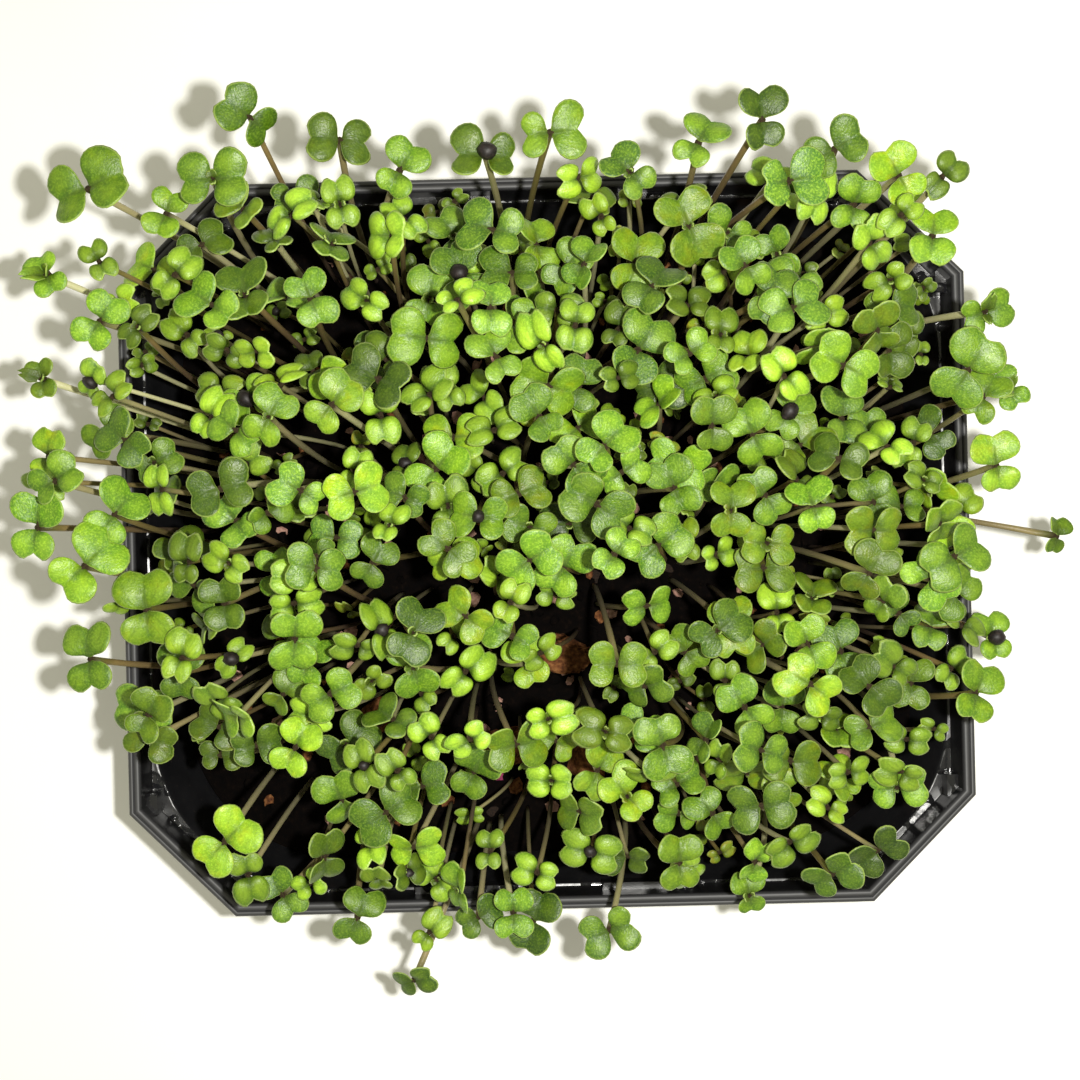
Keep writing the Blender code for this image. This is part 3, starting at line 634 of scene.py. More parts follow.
def leaf_faces(points, faces, base, pitch, width, out, side, up, extra):
    """Grow one notched seed leaf from the four corners of the stem's open side."""
    left_top, right_top, left_low, right_low = base
    along = out * math.cos(pitch) + up * math.sin(pitch)
    normal = along.cross(side)
    start = (points[left_top] + points[right_top]) / 2
    size = width + 2 * extra
    outline = [*LOBE, (0.0, NOTCH), *((-x, y) for x, y in reversed(LOBE))]

    def place(x, y, depth):
        cup = LEAF_FOLD * abs(x) - LEAF_DROOP * y * y
        return start + along * (PETIOLE + y * size) + side * (x * size) + normal * (cup * size - depth)

    top = [right_top]
    low = [right_low]
    for x, y in outline:
        top.append(len(points))
        points.append(place(x, y, 0.0))
        low.append(len(points))
        points.append(place(x, y, BLADE + 2 * extra))
    top.append(left_top)
    low.append(left_low)
    top_middle = len(points)
    points.append(place(0.0, LEAF_MIDDLE, 0.0))
    low_middle = len(points)
    points.append(place(0.0, LEAF_MIDDLE, BLADE + 2 * extra))
    count = len(top)
    for step in range(count):
        following = (step + 1) % count
        faces.append((top_middle, top[following], top[step]))
        faces.append((low_middle, low[step], low[following]))
        if step < count - 1:
            faces.append((low[following], low[step], top[step], top[following]))


def seedling_shape(seedling, extra=0.0):
    """A square stem whose top block opens on two sides into a pair of seed leaves."""
    root = seedling["root"]
    head = seedling["head"]
    up = seedling["up"]
    turn = math.radians(seedling["turn"])
    side_hint = Vector((-math.sin(turn), math.cos(turn), 0))
    leaning = (head - root).xy.length > STEM_LEAN * (head.z - root.z)
    steps = STEM_STEPS[leaning]
    levels = []
    for step in range(steps):
        point, direction = curve_point(root, head, step / steps)
        if step == 0:
            point = root - Vector((0, 0, STEM_SINK))
        half = STEM_BASE + (STEM_NECK - STEM_BASE) * step / steps
        levels.append((point, *cross_frame(direction, side_hint), half + extra))
    out, side = cross_frame(up, side_hint)
    levels.append((head - up * (BLADE + extra), out, side, STEM_NECK + extra))
    levels.append((head + up * extra, out, side, STEM_NECK + extra))
    points = []
    for point, ring_out, ring_side, half in levels:
        for sign_out, sign_side in ((1, -1), (1, 1), (-1, 1), (-1, -1)):
            points.append(point + (ring_out * sign_out + ring_side * sign_side) * half)
    faces = [(3, 2, 1, 0)]
    for level in range(len(levels) - 1):
        low = 4 * level
        open_sides = (0, 2) if level == len(levels) - 2 else ()
        for corner in range(4):
            if corner not in open_sides:
                following = (corner + 1) % 4
                faces.append((low + corner, low + following, low + 4 + following, low + 4 + corner))
    top = len(points) - 4
    neck = top - 4
    faces.append((top, top + 1, top + 2, top + 3))
    for corner, sign, pitch in ((0, 1, seedling["pitch"][0]), (2, -1, seedling["pitch"][1])):
        base = (top + corner, top + corner + 1, neck + corner, neck + corner + 1)
        width = seedling["width"][corner // 2]
        leaf_faces(points, faces, base, pitch, width, out * sign, side * sign, up, extra)
    return points, faces


def tree_of(shape):
    points, faces = shape
    return BVHTree.FromPolygons(points, faces)


def touches(tree, others):
    return any(tree.overlap(other) for other in others)


def root_angles(place, heads):
    """The way round the root ball that each stem stands, in radians: towards its head, but spread apart."""
    angles = [math.atan2(head[1] - place[1], head[0] - place[0]) for head in heads]
    middle = math.atan2(sum(math.sin(a) for a in angles), sum(math.cos(a) for a in angles))
    order = sorted(range(len(heads)), key=lambda one: math.remainder(angles[one] - middle, math.tau))
    spread = {one: rank - (len(heads) - 1) / 2 for rank, one in enumerate(order)}
    return [middle + math.radians(ROOT_TURN) * spread[one] for one in range(len(heads))]


def draw_seedling(draw, place, root_angle, head, turn, width):
    """One seedling whose root stands on its root ball's top, on the side that it leans to."""
    away = Vector((head[0] - place[0], head[1] - place[1], 0))
    foot = Vector((place[0], place[1], soil_height(*place) + PLUG_RISE))
    tip = Vector(head)
    lean = away.length / (tip.z - foot.z)
    up = Vector((0, 0, 1)) + away.normalized() * min(HEAD_FOLLOW_MOST, HEAD_FOLLOW * lean)
    up += Vector((draw.uniform(-HEAD_TILT, HEAD_TILT), draw.uniform(-HEAD_TILT, HEAD_TILT), 0))
    second = draw.uniform(*SECOND_LEAF)
    return {
        "root": foot + Vector((math.cos(root_angle), math.sin(root_angle), 0)) * ROOT_RING,
        "head": tip,
        "up": up.normalized(),
        "turn": turn,
        "pitch": (draw.uniform(*LEAF_PITCH), draw.uniform(*LEAF_PITCH)),
        "width": (width, width * second),
    }


def fit_seedling(draw, place, root_angle, wanted, taken, wander):
    """Draw a seedling until its slightly fattened shape is clear of all that stands already."""
    for attempt in range(TRIES):
        loose = wander * attempt / TRIES
        x, y, z, turn, width = wanted
        head = (
            x + draw.uniform(-loose, loose),
            y + draw.uniform(-loose, loose),
            z + HEIGHT_WANDER * draw.uniform(-loose, loose),
        )
        shrink = 1 - WIDTH_LOSS * attempt / TRIES
        turned = turn + TURN_WANDER * draw.uniform(-loose, loose)
        seedling = draw_seedling(draw, place, root_angle, head, turned, width * shrink)
        tree = tree_of(seedling_shape(seedling, CLEARANCE))
        if not touches(tree, taken):
            taken.append(tree)
            return seedling
    return None


def in_gap(x, y, gaps=GAPS):
    return any(((x - gap[0]) / gap[2]) ** 2 + ((y - gap[1]) / gap[3]) ** 2 < 1 for gap in gaps)


def far_place(draw, places):
    """A place for a root ball, far from the others and clear of the loose chunks."""
    best = None
    best_room = 0.0
    for _ in range(PLACE_DRAWS):
        x = draw.uniform(-INNER_REACH[0], INNER_REACH[0])
        y = draw.uniform(-INNER_REACH[1], INNER_REACH[1])
        room = min(math.dist((x, y), place) for place in places)
        to_chunk = min(math.dist((x, y), chunk[:2]) for chunk in CHUNKS)
        room = min(room, CHUNK_WEIGHT * (to_chunk - CHUNK_ROOM))
        if room > best_room:
            best_room = room
            best = (x, y)
    return best


def canopy(x, y):
    """Height of the crop's top: tallest along the back, shorter along the front and at the ends."""
    front = FRONT_FALL * max(0.0, -y - FRONT_START)
    end = END_FALL * max(0.0, abs(x) - END_START)
    return CROP_HEIGHT + CROP_RISE * y - front - end


def inner_head(draw, place, angle):
    """A head on one side of its root ball, clear of the open places: x, y, z, turn and leaf width."""
    for _ in range(TRIES):
        reach = draw.uniform(*HEAD_REACH)
        turned = angle + draw.uniform(-HEAD_SWING, HEAD_SWING)
        x = place[0] * HEAD_SPREAD + reach * math.cos(turned)
        y = place[1] * HEAD_SPREAD + reach * math.sin(turned)
        if not in_gap(x, y):
            break
    z = canopy(x, y) * draw.uniform(*HEAD_HEIGHT)
    return x, y, z, draw.uniform(0, 180), draw.uniform(*LEAF_WIDTH)


def plan_clumps(taken):
    """Every root ball with its seedlings: those over the rim first, then the inner ones by seeded draws."""
    draw = random.Random(SEED)
    clumps = [(place, []) for place, _ in EDGE_CLUMPS]
    for _ in range(INNER_CLUMPS):
        clumps.append((far_place(draw, [place for place, _ in clumps]), []))
    for place, _ in clumps:
        taken.append(tree_of(plug_shape(place)))
    plugs = taken[-len(clumps):]
    for index, (place, heads) in enumerate(EDGE_CLUMPS):
        others = [tree for tree in taken if tree is not plugs[index]]
        for angle, wanted in zip(root_angles(place, heads), heads):
            seedling = fit_seedling(draw, place, angle, wanted, others, EDGE_WANDER)
            if seedling:
                taken.append(others[-1])
                clumps[index][1].append(seedling)
    for index in range(len(EDGE_CLUMPS), len(clumps)):
        place = clumps[index][0]
        others = [tree for tree in taken if tree is not plugs[index]]
        first = draw.uniform(0, math.tau)
        count = draw.choice(INNER_COUNTS)
        for spoke in range(count):
            angle = first + math.tau * spoke / count
            wanted = inner_head(draw, place, angle)
            seedling = fit_seedling(draw, place, angle, wanted, others, INNER_WANDER)
            if seedling:
                taken.append(others[-1])
                clumps[index][1].append(seedling)
    return clumps


def coat_shape(centre, radius):
    """A shed seed coat: a small dark ball, slightly longer than wide."""
    angles = [math.tau * side / COAT_SIDES for side in range(COAT_SIDES)]
    rings = []
    for tilt in COAT_TILTS:
        z = radius * math.sin(math.radians(tilt))
        size = radius * math.cos(math.radians(tilt))
        rings.append([
            centre + Vector((COAT_LENGTH * size * math.cos(a), size * math.sin(a), z)) for a in angles
        ])
    return loft(rings)


def place_coats(clumps, taken):
    """Put each coat on the seedling nearest to its place whose middle has room for it."""
    seedlings = [seedling for _, heads in clumps for seedling in heads]
    shapes = []
    for place in COAT_PLACES:
        for seedling in sorted(seedlings, key=lambda one: math.dist(one["head"].xy, place)):
            centre = seedling["head"] + seedling["up"] * (COAT_RADIUS + COAT_LIFT)
            shape = coat_shape(centre, COAT_RADIUS)
            tree = tree_of(coat_shape(centre, COAT_RADIUS + GAP))
            own = tree_of(seedling_shape(seedling))
            others = [one for one in taken if not one.overlap(own)]
            if not touches(tree, others) and not tree.overlap(own):
                shapes.append(shape)
                taken.append(tree)
                break
    return shapes


def rounded(levels, reach):
    """The same profile with each of its corners turned into a small arc."""
    levels = [np.array(level, float) for level in levels]
    made = [levels[0].tolist()]
    for before, level, after in zip(levels, levels[1:], levels[2:]):
        to_before = before - level
        to_after = after - level
        back, on = (
            min(ARC_SHARE, reach / max(math.hypot(*run[:2]), SHORTEST_RUN)) for run in (to_before, to_after)
        )
        for step in range(ARC_STEPS + 1):
            share = step / ARC_STEPS
            arc = level + to_before * back * (1 - share) ** 2 + to_after * on * share ** 2
            made.append(arc.tolist())
    made.append(levels[-1].tolist())
    return made


def new_piece(name, points, faces, material, marks=None, smooth_angle=None):
    """A mesh from millimetre points and lists of equally long faces, with its marks on every point."""
    mesh = bpy.data.meshes.new(name)
    points = np.asarray(points, np.float32) * MM
    mesh.vertices.add(len(points))
    mesh.vertices.foreach_set("co", points.ravel())
    corners = np.concatenate([np.asarray(group, np.int32).ravel() for group in faces if len(group)])
    counts = np.concatenate([np.full(len(group), len(group[0])) for group in faces if len(group)])
    starts = np.concatenate([[0], np.cumsum(counts)[:-1]]).astype(np.int32)
    mesh.loops.add(len(corners))
    mesh.loops.foreach_set("vertex_index", corners)
    mesh.polygons.add(len(counts))
    mesh.polygons.foreach_set("loop_start", starts)
    mesh.update(calc_edges=True)
    mesh.validate()
    mesh.materials.append(material)
    for column, mark in enumerate(MARKS if marks is not None else ()):
        values = mesh.attributes.new(mark, "FLOAT", "POINT")
        values.data.foreach_set("value", np.ascontiguousarray(marks[:, column], np.float32))
    mesh.shade_smooth()
    if smooth_angle:
        mesh.set_sharp_from_angle(angle=math.radians(smooth_angle))
    piece = bpy.data.objects.new(name, mesh)
    bpy.context.scene.collection.objects.link(piece)
    return piece


def settle(piece, slot, *nodes):
    """Fix a piece to the object and let it stand for its own nodes."""
    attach(piece, "root")
    if nodes:
        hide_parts(*nodes)


class Bunch:
    """Points, faces and marks of many small shapes that make up one piece."""

    def __init__(self):
        self.points = []
        self.quads = []
        self.triangles = []
        self.marks = []
        self.count = 0

    def add(self, points, quads, triangles, **marks):
        values = np.zeros((len(points), len(MARKS)))
        for mark, value in marks.items():
            values[:, MARKS.index(mark)] = value
        self.points.append(points)
        self.marks.append(values)
        self.quads.append(quads + self.count)
        self.triangles.append(triangles + self.count)
        self.count += len(points)

    def make(self, name, material, smooth_angle=None):
        faces = (np.concatenate(self.quads), np.concatenate(self.triangles))
        points = np.concatenate(self.points)
        return new_piece(name, points, faces, material, np.concatenate(self.marks), smooth_angle)


def tube(centres, across, beside, radii, sides):
    """A round bar through centres that closes in a point; across, beside and its run are right-handed."""
    turns = np.arange(sides) * math.tau / sides
    rims = np.cos(turns)[None, :, None] * across[:, None, :]
    rims = rims + np.sin(turns)[None, :, None] * beside[:, None, :]
    points = (centres[:, None, :] + radii[:, None, None] * rims).reshape(-1, 3)
    levels = len(centres)
    step = np.arange(sides)
    following = (step + 1) % sides
    quads = []
    for level in range(levels - 1):
        low = level * sides
        high = low + sides
        quads.append(np.stack([low + step, low + following, high + following, high + step], 1))
    first = levels * sides
    last = (levels - 1) * sides
    start_fan = np.stack([np.full(sides, first), following, step], 1)
    end_fan = np.stack([np.full(sides, first + 1), last + step, last + following], 1)
    points = np.concatenate([points, centres[:1], centres[-1:]])
    return points, np.concatenate(quads), np.concatenate([start_fan, end_fan])


def blade_faces():
    """Faces of a blade: a fan in the middle of each side and bands of quads out to the rim and back."""
    levels = len(TOP_RINGS) + 1 + len(LOW_RINGS)
    step = np.arange(SPOKES)
    following = (step + 1) % SPOKES
    quads = []
    for level in range(levels - 1):
        low = level * SPOKES
        high = low + SPOKES
        quads.append(np.stack([low + step, high + step, high + following, low + following], 1))
    top = levels * SPOKES
    last = (levels - 1) * SPOKES
    top_fan = np.stack([np.full(SPOKES, top), step, following], 1)
    low_fan = np.stack([last + step, np.full(SPOKES, top + 1), last + following], 1)
    return np.concatenate(quads), np.concatenate([top_fan, low_fan])


BLADE_QUADS, BLADE_TRIANGLES = blade_faces()


def blade_form(draw, puffed):
    """How one seed leaf is puffed, folded along its middle, bent back and waved along its margin."""
    ranges = PUFFED_BLADE if puffed else OPEN_BLADE
    form = {name: base + draw.uniform(low, high) for name, (base, low, high) in ranges.items()}
    return form | {
        "notch": draw.uniform(0.0, NOTCH_FILL),
        "waves": draw.choice(MARGIN_WAVES),
        "phase": draw.uniform(0, math.tau),
        "lobes": (draw.uniform(*LOBE_SIZES), draw.uniform(*LOBE_SIZES)),
        "skew": draw.uniform(-LEAF_SKEW, LEAF_SKEW),
        "stretch": 1.0,
        "jag": 0.0,
        "point": 0.0,
    }


def lobe_shape(x, y, outer, inner):
    """1 at the middle of a blade's left and right lobes, 0 at their edges and below it outside."""
    spread = np.where(x > LOBE_MIDDLE[0], outer, inner)
    return 1 - ((x - LOBE_MIDDLE[0]) / spread) ** 2 - ((y - LOBE_MIDDLE[1]) / LOBE_LENGTH) ** 2


def relief(form, x, y):
    """Height of a blade's upper side over its plane, all in shares of its width."""
    beside = np.sqrt(x * x + FOLD_ROUNDING ** 2)
    dome = form["puff"] * lobe_shape(beside, y, *PUFF_SPREAD)
    return dome + form["fold"] * beside - form["droop"] * np.maximum(0, y) ** 2


def blade_points(form, width):
    """Points of one seed leaf in shares of its width, across, along and up, and the marks on them."""
    angles = np.arange(SPOKES) * math.tau / SPOKES
    half = np.degrees(np.minimum(angles, math.tau - angles))
    reach = np.interp(half, [row[0] for row in OUTLINE], [row[1] for row in OUTLINE])
    reach = reach * np.where(angles < math.pi, *form["lobes"]) * (1 + form["jag"] * np.sin(JAGS * angles))
    reach = reach * (1 + form["notch"] * np.exp(-(half / NOTCH_SPREAD) ** 2))
    rings = [(share, 0.0) for share in TOP_RINGS] + [(1.0, 0.5)] + [(share, 1.0) for share in LOW_RINGS]
    shares = np.repeat([level[0] for level in rings], SPOKES)
    depths = np.repeat([level[1] for level in rings], SPOKES)
    across = np.tile(reach * np.sin(angles), len(rings)) * shares
    along = OUTLINE_MIDDLE + np.tile(reach * np.cos(angles), len(rings)) * shares
    across *= 1 - form["point"] * np.clip(along / POINT_LENGTH, 0, 1) ** 2
    wave = form["wave"] * shares ** 3 * np.sin(form["waves"] * np.tile(angles, len(rings)) + form["phase"])
    x = np.append(across, [0, 0])
    y = np.append(along, [OUTLINE_MIDDLE, OUTLINE_MIDDLE])
    shares = np.append(shares, [0, 0])
    depths = np.append(depths, [0, 1])
    z = relief(form, x, y) + np.append(wave, [0, 0]) - depths * FINE_BLADE / width
    # painted highlight on the lobes, full once they are puffed enough
    highlight_strength = LEAST_HIGHLIGHT + (1 - LEAST_HIGHLIGHT) * min(1.0, form["puff"] / FULL_PUFF)
    marks = {
        "edge": shares,
        "under": depths,
        "rib": np.exp(-(x / RIB_WIDTH) ** 2) * np.clip((RIB_END - y) / RIB_FADE, 0, 1),
        "lobe": highlight_strength * np.clip(lobe_shape(np.abs(x), y, *HIGHLIGHT_SPREAD), 0, 1),
        "fan": np.arctan2(x, y + VEIN_ROOT),
        "reach": np.hypot(x, y + VEIN_ROOT) * width,
    }
    return np.stack([x + form["skew"] * y ** 2, y * form["stretch"], z], 1), marks


def add_leaf(bunch, draw, seedling, which, marks):
    """One seed leaf on its short stalk, which runs on under the blade as its midrib."""
    sign = 1 - 2 * which
    up = seedling["up"]
    turn = math.radians(seedling["turn"])
    out, side = cross_frame(up, Vector((-math.sin(turn), math.cos(turn), 0)))
    out = out * sign
    side = side * sign
    pitch = seedling["pitch"][which]
    along = out * math.cos(pitch) + up * math.sin(pitch)
    normal = np.array(along.cross(side))
    start = np.array(seedling["head"] + out * STALK_START[0] * STEM_NECK + up * STALK_START[1])
    width = seedling["width"][which]
    form = blade_form(draw, seedling.get("puffed", False)) | seedling.get("form", {})
    blade, leaf_marks = blade_points(form, width)
    stalk = seedling.get("stalk", SHORT_STALK)
    points = start + stalk * np.array(along) + blade * width @ np.array([side, along, normal])
    bunch.add(points, BLADE_QUADS, BLADE_TRIANGLES, blade=1.0, along=1.0, **leaf_marks, **marks)
    side = np.array(side)
    along = np.array(along)
    base = relief(form, 0.0, 0.0) * width
    # the stalk's way along the leaf, its height over the leaf's plane and its radius
    runs = [(-0.6, -0.5, 0.42), (0.4 * stalk, 0.5 * base - 0.3, 0.44), (stalk + 0.3, base - 0.3, 0.4)]
    for share, radius in MIDRIB:
        runs.append((stalk + share * width, relief(form, 0.0, share) * width - FINE_BLADE, radius))
    centres = np.array([start + run * along + rise * normal for run, rise, _ in runs])
    radii = np.array([radius for _, _, radius in runs])
    sides = np.repeat([side], len(runs), 0)
    normals = np.repeat([normal], len(runs), 0)
    bunch.add(*tube(centres, sides, normals, radii, STALK_SIDES), along=1.0, **marks)


def add_stem(bunch, draw, seedling, marks):
    """A round stem that narrows to its neck, with the bud closing its top."""
    root = seedling["root"]
    head = seedling["head"]
    hint = Vector((1, 0, 0))
    centres = []
    frames = []
    shares = []
    for step in range(STEM_RINGS):
        share = step / (STEM_RINGS - 1)
        point, direction = curve_point(root, head, share)
        if step == 0:
            point = root - Vector((0, 0, STEM_SINK))
        if step == STEM_RINGS - 1:
            direction = seedling["up"]
        centres.append(point)
        frames.append(cross_frame(direction, hint))
        shares.append(share)
    centres.append(head - seedling["up"] * TOP_DROP)
    frames.append(frames[-1])
    shares.append(1.0)
    thick = seedling.get("thick", 1.0)
    radii = np.array([
        thick * (STEM_RADIUS + STEM_GAIN * share + NECK_GAIN * max(0.0, share - NECK_START))
        for share in shares
    ])
    radii *= 1 + STEM_UNEVENNESS * np.array([draw.uniform(-1, 1) for _ in shares])
    radii[-1] *= 0.5
    across = np.array([frame[0] for frame in frames])
    beside = np.array([frame[1] for frame in frames])
    points, quads, triangles = tube(np.array(centres), across, beside, radii, STEM_SIDES)
    heights = np.append(np.repeat(shares, STEM_SIDES), [0, 1])
    bunch.add(points, quads, triangles, along=heights, **marks)


def add_bud(bunch, draw, seedling, marks):
    """The first true leaves between the seed leaves: small and folded, or jagged where they have grown."""
    width = seedling["bud"]
    up = seedling["up"]
    bud = {
        "head": seedling["head"] + up * BUD_LIFT,
        "up": up,
        "turn": seedling["turn"] + 90 + draw.uniform(-BUD_SWING, BUD_SWING),
        "pitch": (draw.uniform(*BUD_PITCHES[0]), draw.uniform(*BUD_PITCHES[1])),
        "width": (width, SECOND_BUD_LEAF * width),
        "form": JAGGED_FORM if width > JAGGED_FROM else {},
        "stalk": BUD_STALK,
    }
    tone = dict(marks, tone=marks["tone"] * BUD_TONE)
    for which in range(2):
        add_leaf(bunch, draw, bud, which, tone)


def add_seedling(bunch, draw, seedling):
    """One whole seedling."""
    marks = {"tone": seedling["tone"], "tint": seedling["tint"], "shade": seedling["shade"]}
    add_stem(bunch, draw, seedling, marks)
    for which in range(2):
        add_leaf(bunch, draw, seedling, which, marks)
    if seedling.get("bud"):
        add_bud(bunch, draw, seedling, marks)


def add_lump(bunch, draw, centre, size, roughness, sides, **marks):
    """A rough lump: three half axes, turned at random about the vertical."""
    tilts = np.radians(LUMP_TILTS)
    turns = np.arange(sides) * math.tau / sides
    offset = Vector((draw.uniform(-50, 50), draw.uniform(-50, 50), draw.uniform(-50, 50)))
    turn = draw.uniform(0, math.tau)
    rounds = [(tilt, angle) for tilt in tilts for angle in turns] + [(-math.pi / 2, 0.0), (math.pi / 2, 0.0)]
    points = []
    for tilt, angle in rounds:
        level = math.cos(tilt)
        direction = Vector((level * math.cos(angle), level * math.sin(angle), math.sin(tilt)))
        rough = 1 + roughness * noise.noise(direction * LUMP_GRAIN + offset)
        x = direction.x * size[0] * rough
        y = direction.y * size[1] * rough
        points.append((
            centre[0] + x * math.cos(turn) - y * math.sin(turn),
            centre[1] + x * math.sin(turn) + y * math.cos(turn),
            centre[2] + direction.z * size[2] * rough,
        ))
    step = np.arange(sides)
    following = (step + 1) % sides
    quads = []
    for level in range(len(tilts) - 1):
        low = level * sides
        quads.append(np.stack([low + step, low + following, low + sides + following, low + sides + step], 1))
    low_point = len(tilts) * sides
    last = low_point - sides
    low_fan = np.stack([np.full(sides, low_point), following, step], 1)
    high_fan = np.stack([np.full(sides, low_point + 1), last + step, last + following], 1)
    bunch.add(np.array(points), np.concatenate(quads), np.concatenate([low_fan, high_fan]), **marks)


def box_of(points):
    """Lowest and highest corner of a shape as six numbers."""
    points = np.array(points)
    return np.concatenate([points.min(0), points.max(0)])


class Standing:
    """All that stands already, to try a new shape against."""

    def __init__(self):
        self.boxes = np.zeros((0, 6))
        self.trees = []

    def put(self, shape):
        self.boxes = np.vstack([self.boxes, box_of(shape[0])])
        self.trees.append(tree_of(shape))

    def clear_of(self, shape):
        box = box_of(shape[0])
        near = (self.boxes[:, :3] <= box[3:]).all(1) & (self.boxes[:, 3:] >= box[:3]).all(1)
        tree = tree_of(shape)
        return not any(tree.overlap(self.trees[index]) for index in np.flatnonzero(near))


def in_rounded_box(x, y, half, corner):
    """Whether a place lies in a rectangle with round corners about the middle of the tray."""
    over_x = max(0.0, abs(x) - half[0] + corner)
    over_y = max(0.0, abs(y) - half[1] + corner)
    return math.hypot(over_x, over_y) <= corner


def open_place(draw, heads):
    """A place for a head: the farthest from the others out of a few draws, clear of the open places."""
    best = None
    best_room = -1.0
    for _ in range(PLACE_CHOICES):
        x = draw.uniform(-CROP_REACH[0], CROP_REACH[0])
        y = draw.uniform(-CROP_REACH[1], CROP_REACH[1])
        if not in_rounded_box(x, y, CROP_REACH, CROP_CORNER) or in_gap(x, y, GAPS + INNER_GAPS):
            continue
        room = np.hypot(heads[:, 0] - x, heads[:, 1] - y).min() * (1 + BACK_CROWDING * y / CROP_REACH[1])
        if room > best_room:
            best_room = room
            best = (x, y)
    return best


def draw_extra(draw, place, height=None):
    """One more seedling with its head over that place: most as tall as the crop, a few short and young."""
    kind = draw.random()
    young = kind < YOUNG_SHARE and not height
    puffed = kind < PUFFED_SHARE
    share = draw.uniform(*(YOUNG_HEIGHTS if young else GROWN_HEIGHTS))
    x, y = place
    head = Vector((x, y, height or canopy(x, y) * share))
    lean = OUTER_LEAN if height else INNER_LEAN
    for _ in range(ROOT_TRIES):
        root_x = x * (1 - lean) + draw.gauss(0, ROOT_SCATTER)
        root_y = y * (1 - lean) + draw.gauss(0, ROOT_SCATTER)
        if in_rounded_box(root_x, root_y, SOIL_REACH, SOIL_CORNER):
            break
    else:
        return None
    tilt = STRONG_TILT if draw.random() < STRONG_TILT_SHARE else SLIGHT_TILT
    up = Vector((draw.gauss(0, tilt), draw.gauss(0, tilt), 1)) + Vector((x, y, 0)) * OUTWARD_TILT
    width = draw.triangular(*(YOUNG_WIDTHS if young else PUFFED_WIDTHS if puffed else OPEN_WIDTHS))
    pitches = PUFFED_PITCHES if puffed else OPEN_PITCHES
    return {
        "root": Vector((root_x, root_y, soil_height(root_x, root_y))),
        "head": head,
        "up": up.normalized(),
        "turn": draw.uniform(0, 180),
        "pitch": (draw.uniform(*pitches), draw.uniform(*pitches)),
        "width": (width, width * draw.uniform(*UNEQUAL_LEAF)),
        "young": young,
        "puffed": puffed,
        "stalk": LONG_STALK if puffed else SHORT_STALK,
        "thick": draw.uniform(*(YOUNG_STEMS if young else GROWN_STEMS)),
    }


def plan_extras(standing, seedlings):
    """Seeded draws of further seedlings, each kept where it is clear of all that stands."""
    draw = random.Random(EXTRA_SEED)
    heads = np.array([list(seedling["head"].xy) for seedling in seedlings])
    roots = np.array([list(seedling["root"].xy) for seedling in seedlings])
    extras = []
    for number in range(EXTRAS):
        for _ in range(EXTRA_TRIES):
            if number < len(OUTER_HEADS):
                x, y, z = OUTER_HEADS[number]
                place = tuple(at + draw.uniform(-OUTER_WANDER, OUTER_WANDER) for at in (x, y))
                seedling = draw_extra(draw, place, z)
            else:
                place = open_place(draw, heads)
                seedling = draw_extra(draw, place) if place else None
            if not seedling:
                continue
            root = seedling["root"]
            if np.hypot(roots[:, 0] - root.x, roots[:, 1] - root.y).min() < ROOM_BETWEEN_ROOTS:
                continue
            shape = seedling_shape(seedling, EXTRA_CLEARANCE)
            if standing.clear_of(shape):
                standing.put(shape)
                extras.append(seedling)
                heads = np.vstack([heads, list(seedling["head"].xy)])
                roots = np.vstack([roots, list(root.xy)])
                break
    return extras


def colour_in(seedlings):
    """Give each seedling its tone, yellow green to deep green, its brightness and painted shade, its bud and
    its stem's tint.
    """
    draw = random.Random(EXTRA_SEED + 1)
    for seedling in seedlings:
        head = seedling["head"]
        patch = noise.noise(Vector((head.x, head.y, 0)) / TONE_PATCH)
        tone = TONE_MIDDLE + TONE_SWING * patch + draw.gauss(0, TONE_SPREAD)
        if seedling.get("young"):
            green = draw.random() < YOUNG_GREEN_SHARE
            seedling["tone"] = draw.uniform(*YOUNG_TONES) if green else YELLOW_TONE
        else:
            seedling["tone"] = min(1.0, max(YOUNG_TONES[0], tone))
        seedling["tint"] = draw.choice(STEM_TINTS)
        # painted shade: blades lower in the crop are darker; the drawn factor is each seedling's own
        # brightness
        depth = LOW_LIGHT + (1 - LOW_LIGHT) * min(1.0, head.z / canopy(head.x, head.y))
        seedling["shade"] = depth * min(LIGHTS[1], max(LIGHTS[0], draw.gauss(*LIGHT_DRAW)))
        budding = draw.random() < BUD_SHARE and not seedling.get("young")
        seedling["bud"] = draw.uniform(*BUD_WIDTHS) if budding else 0
        if min(math.dist(head.xy, place) for place in JAGGED_PLACES) < JAGGED_REACH:
            seedling["bud"] = draw.uniform(*JAGGED_WIDTHS)
        if min(math.dist(head.xy, place) for place in PALE_PLACES) < PALE_REACH:
            seedling["tint"] = PALE_TINT


def linear(code):
    """A colour written as sRGB hexadecimal, as the shader wants it."""
    values = []
    for place in (1, 3, 5):
        part = int(code[place:place + 2], 16) / 255
        values.append(part / 12.92 if part <= 0.04045 else ((part + 0.055) / 1.055) ** 2.4)
    return (*values, 1.0)


def per_mm(size):
    """Texture scale for a pattern whose grain is that many millimetres."""
    return 1 / (size * MM)


def add_node(tree, kind, inputs=None, stops=None, **settings):
    """Add one shader node; inputs are numbers, colours or sockets, stops are a colour ramp's."""
    made = tree.nodes.new("ShaderNode" + kind)
    for name, value in settings.items():
        setattr(made, name, value)
    for key, value in (inputs or {}).items():
        if isinstance(value, bpy.types.NodeSocket):
            tree.links.new(value, made.inputs[key])
        else:
            made.inputs[key].default_value = value
    if stops:
        ramp = made.color_ramp
        while len(ramp.elements) < len(stops):
            ramp.elements.new(0.5)
        for element, (place, code) in zip(ramp.elements, stops):
            element.position = place
            element.color = linear(code)
    return made


def new_material(name):
    """An empty material's node tree with its output."""
    material = bpy.data.materials.new(name)
    material.use_nodes = True
    tree = material.node_tree
    tree.nodes.clear()
    return material, tree


def close_material(tree, shader):
    output = add_node(tree, "OutputMaterial")
    tree.links.new(shader.outputs[0], output.inputs["Surface"])


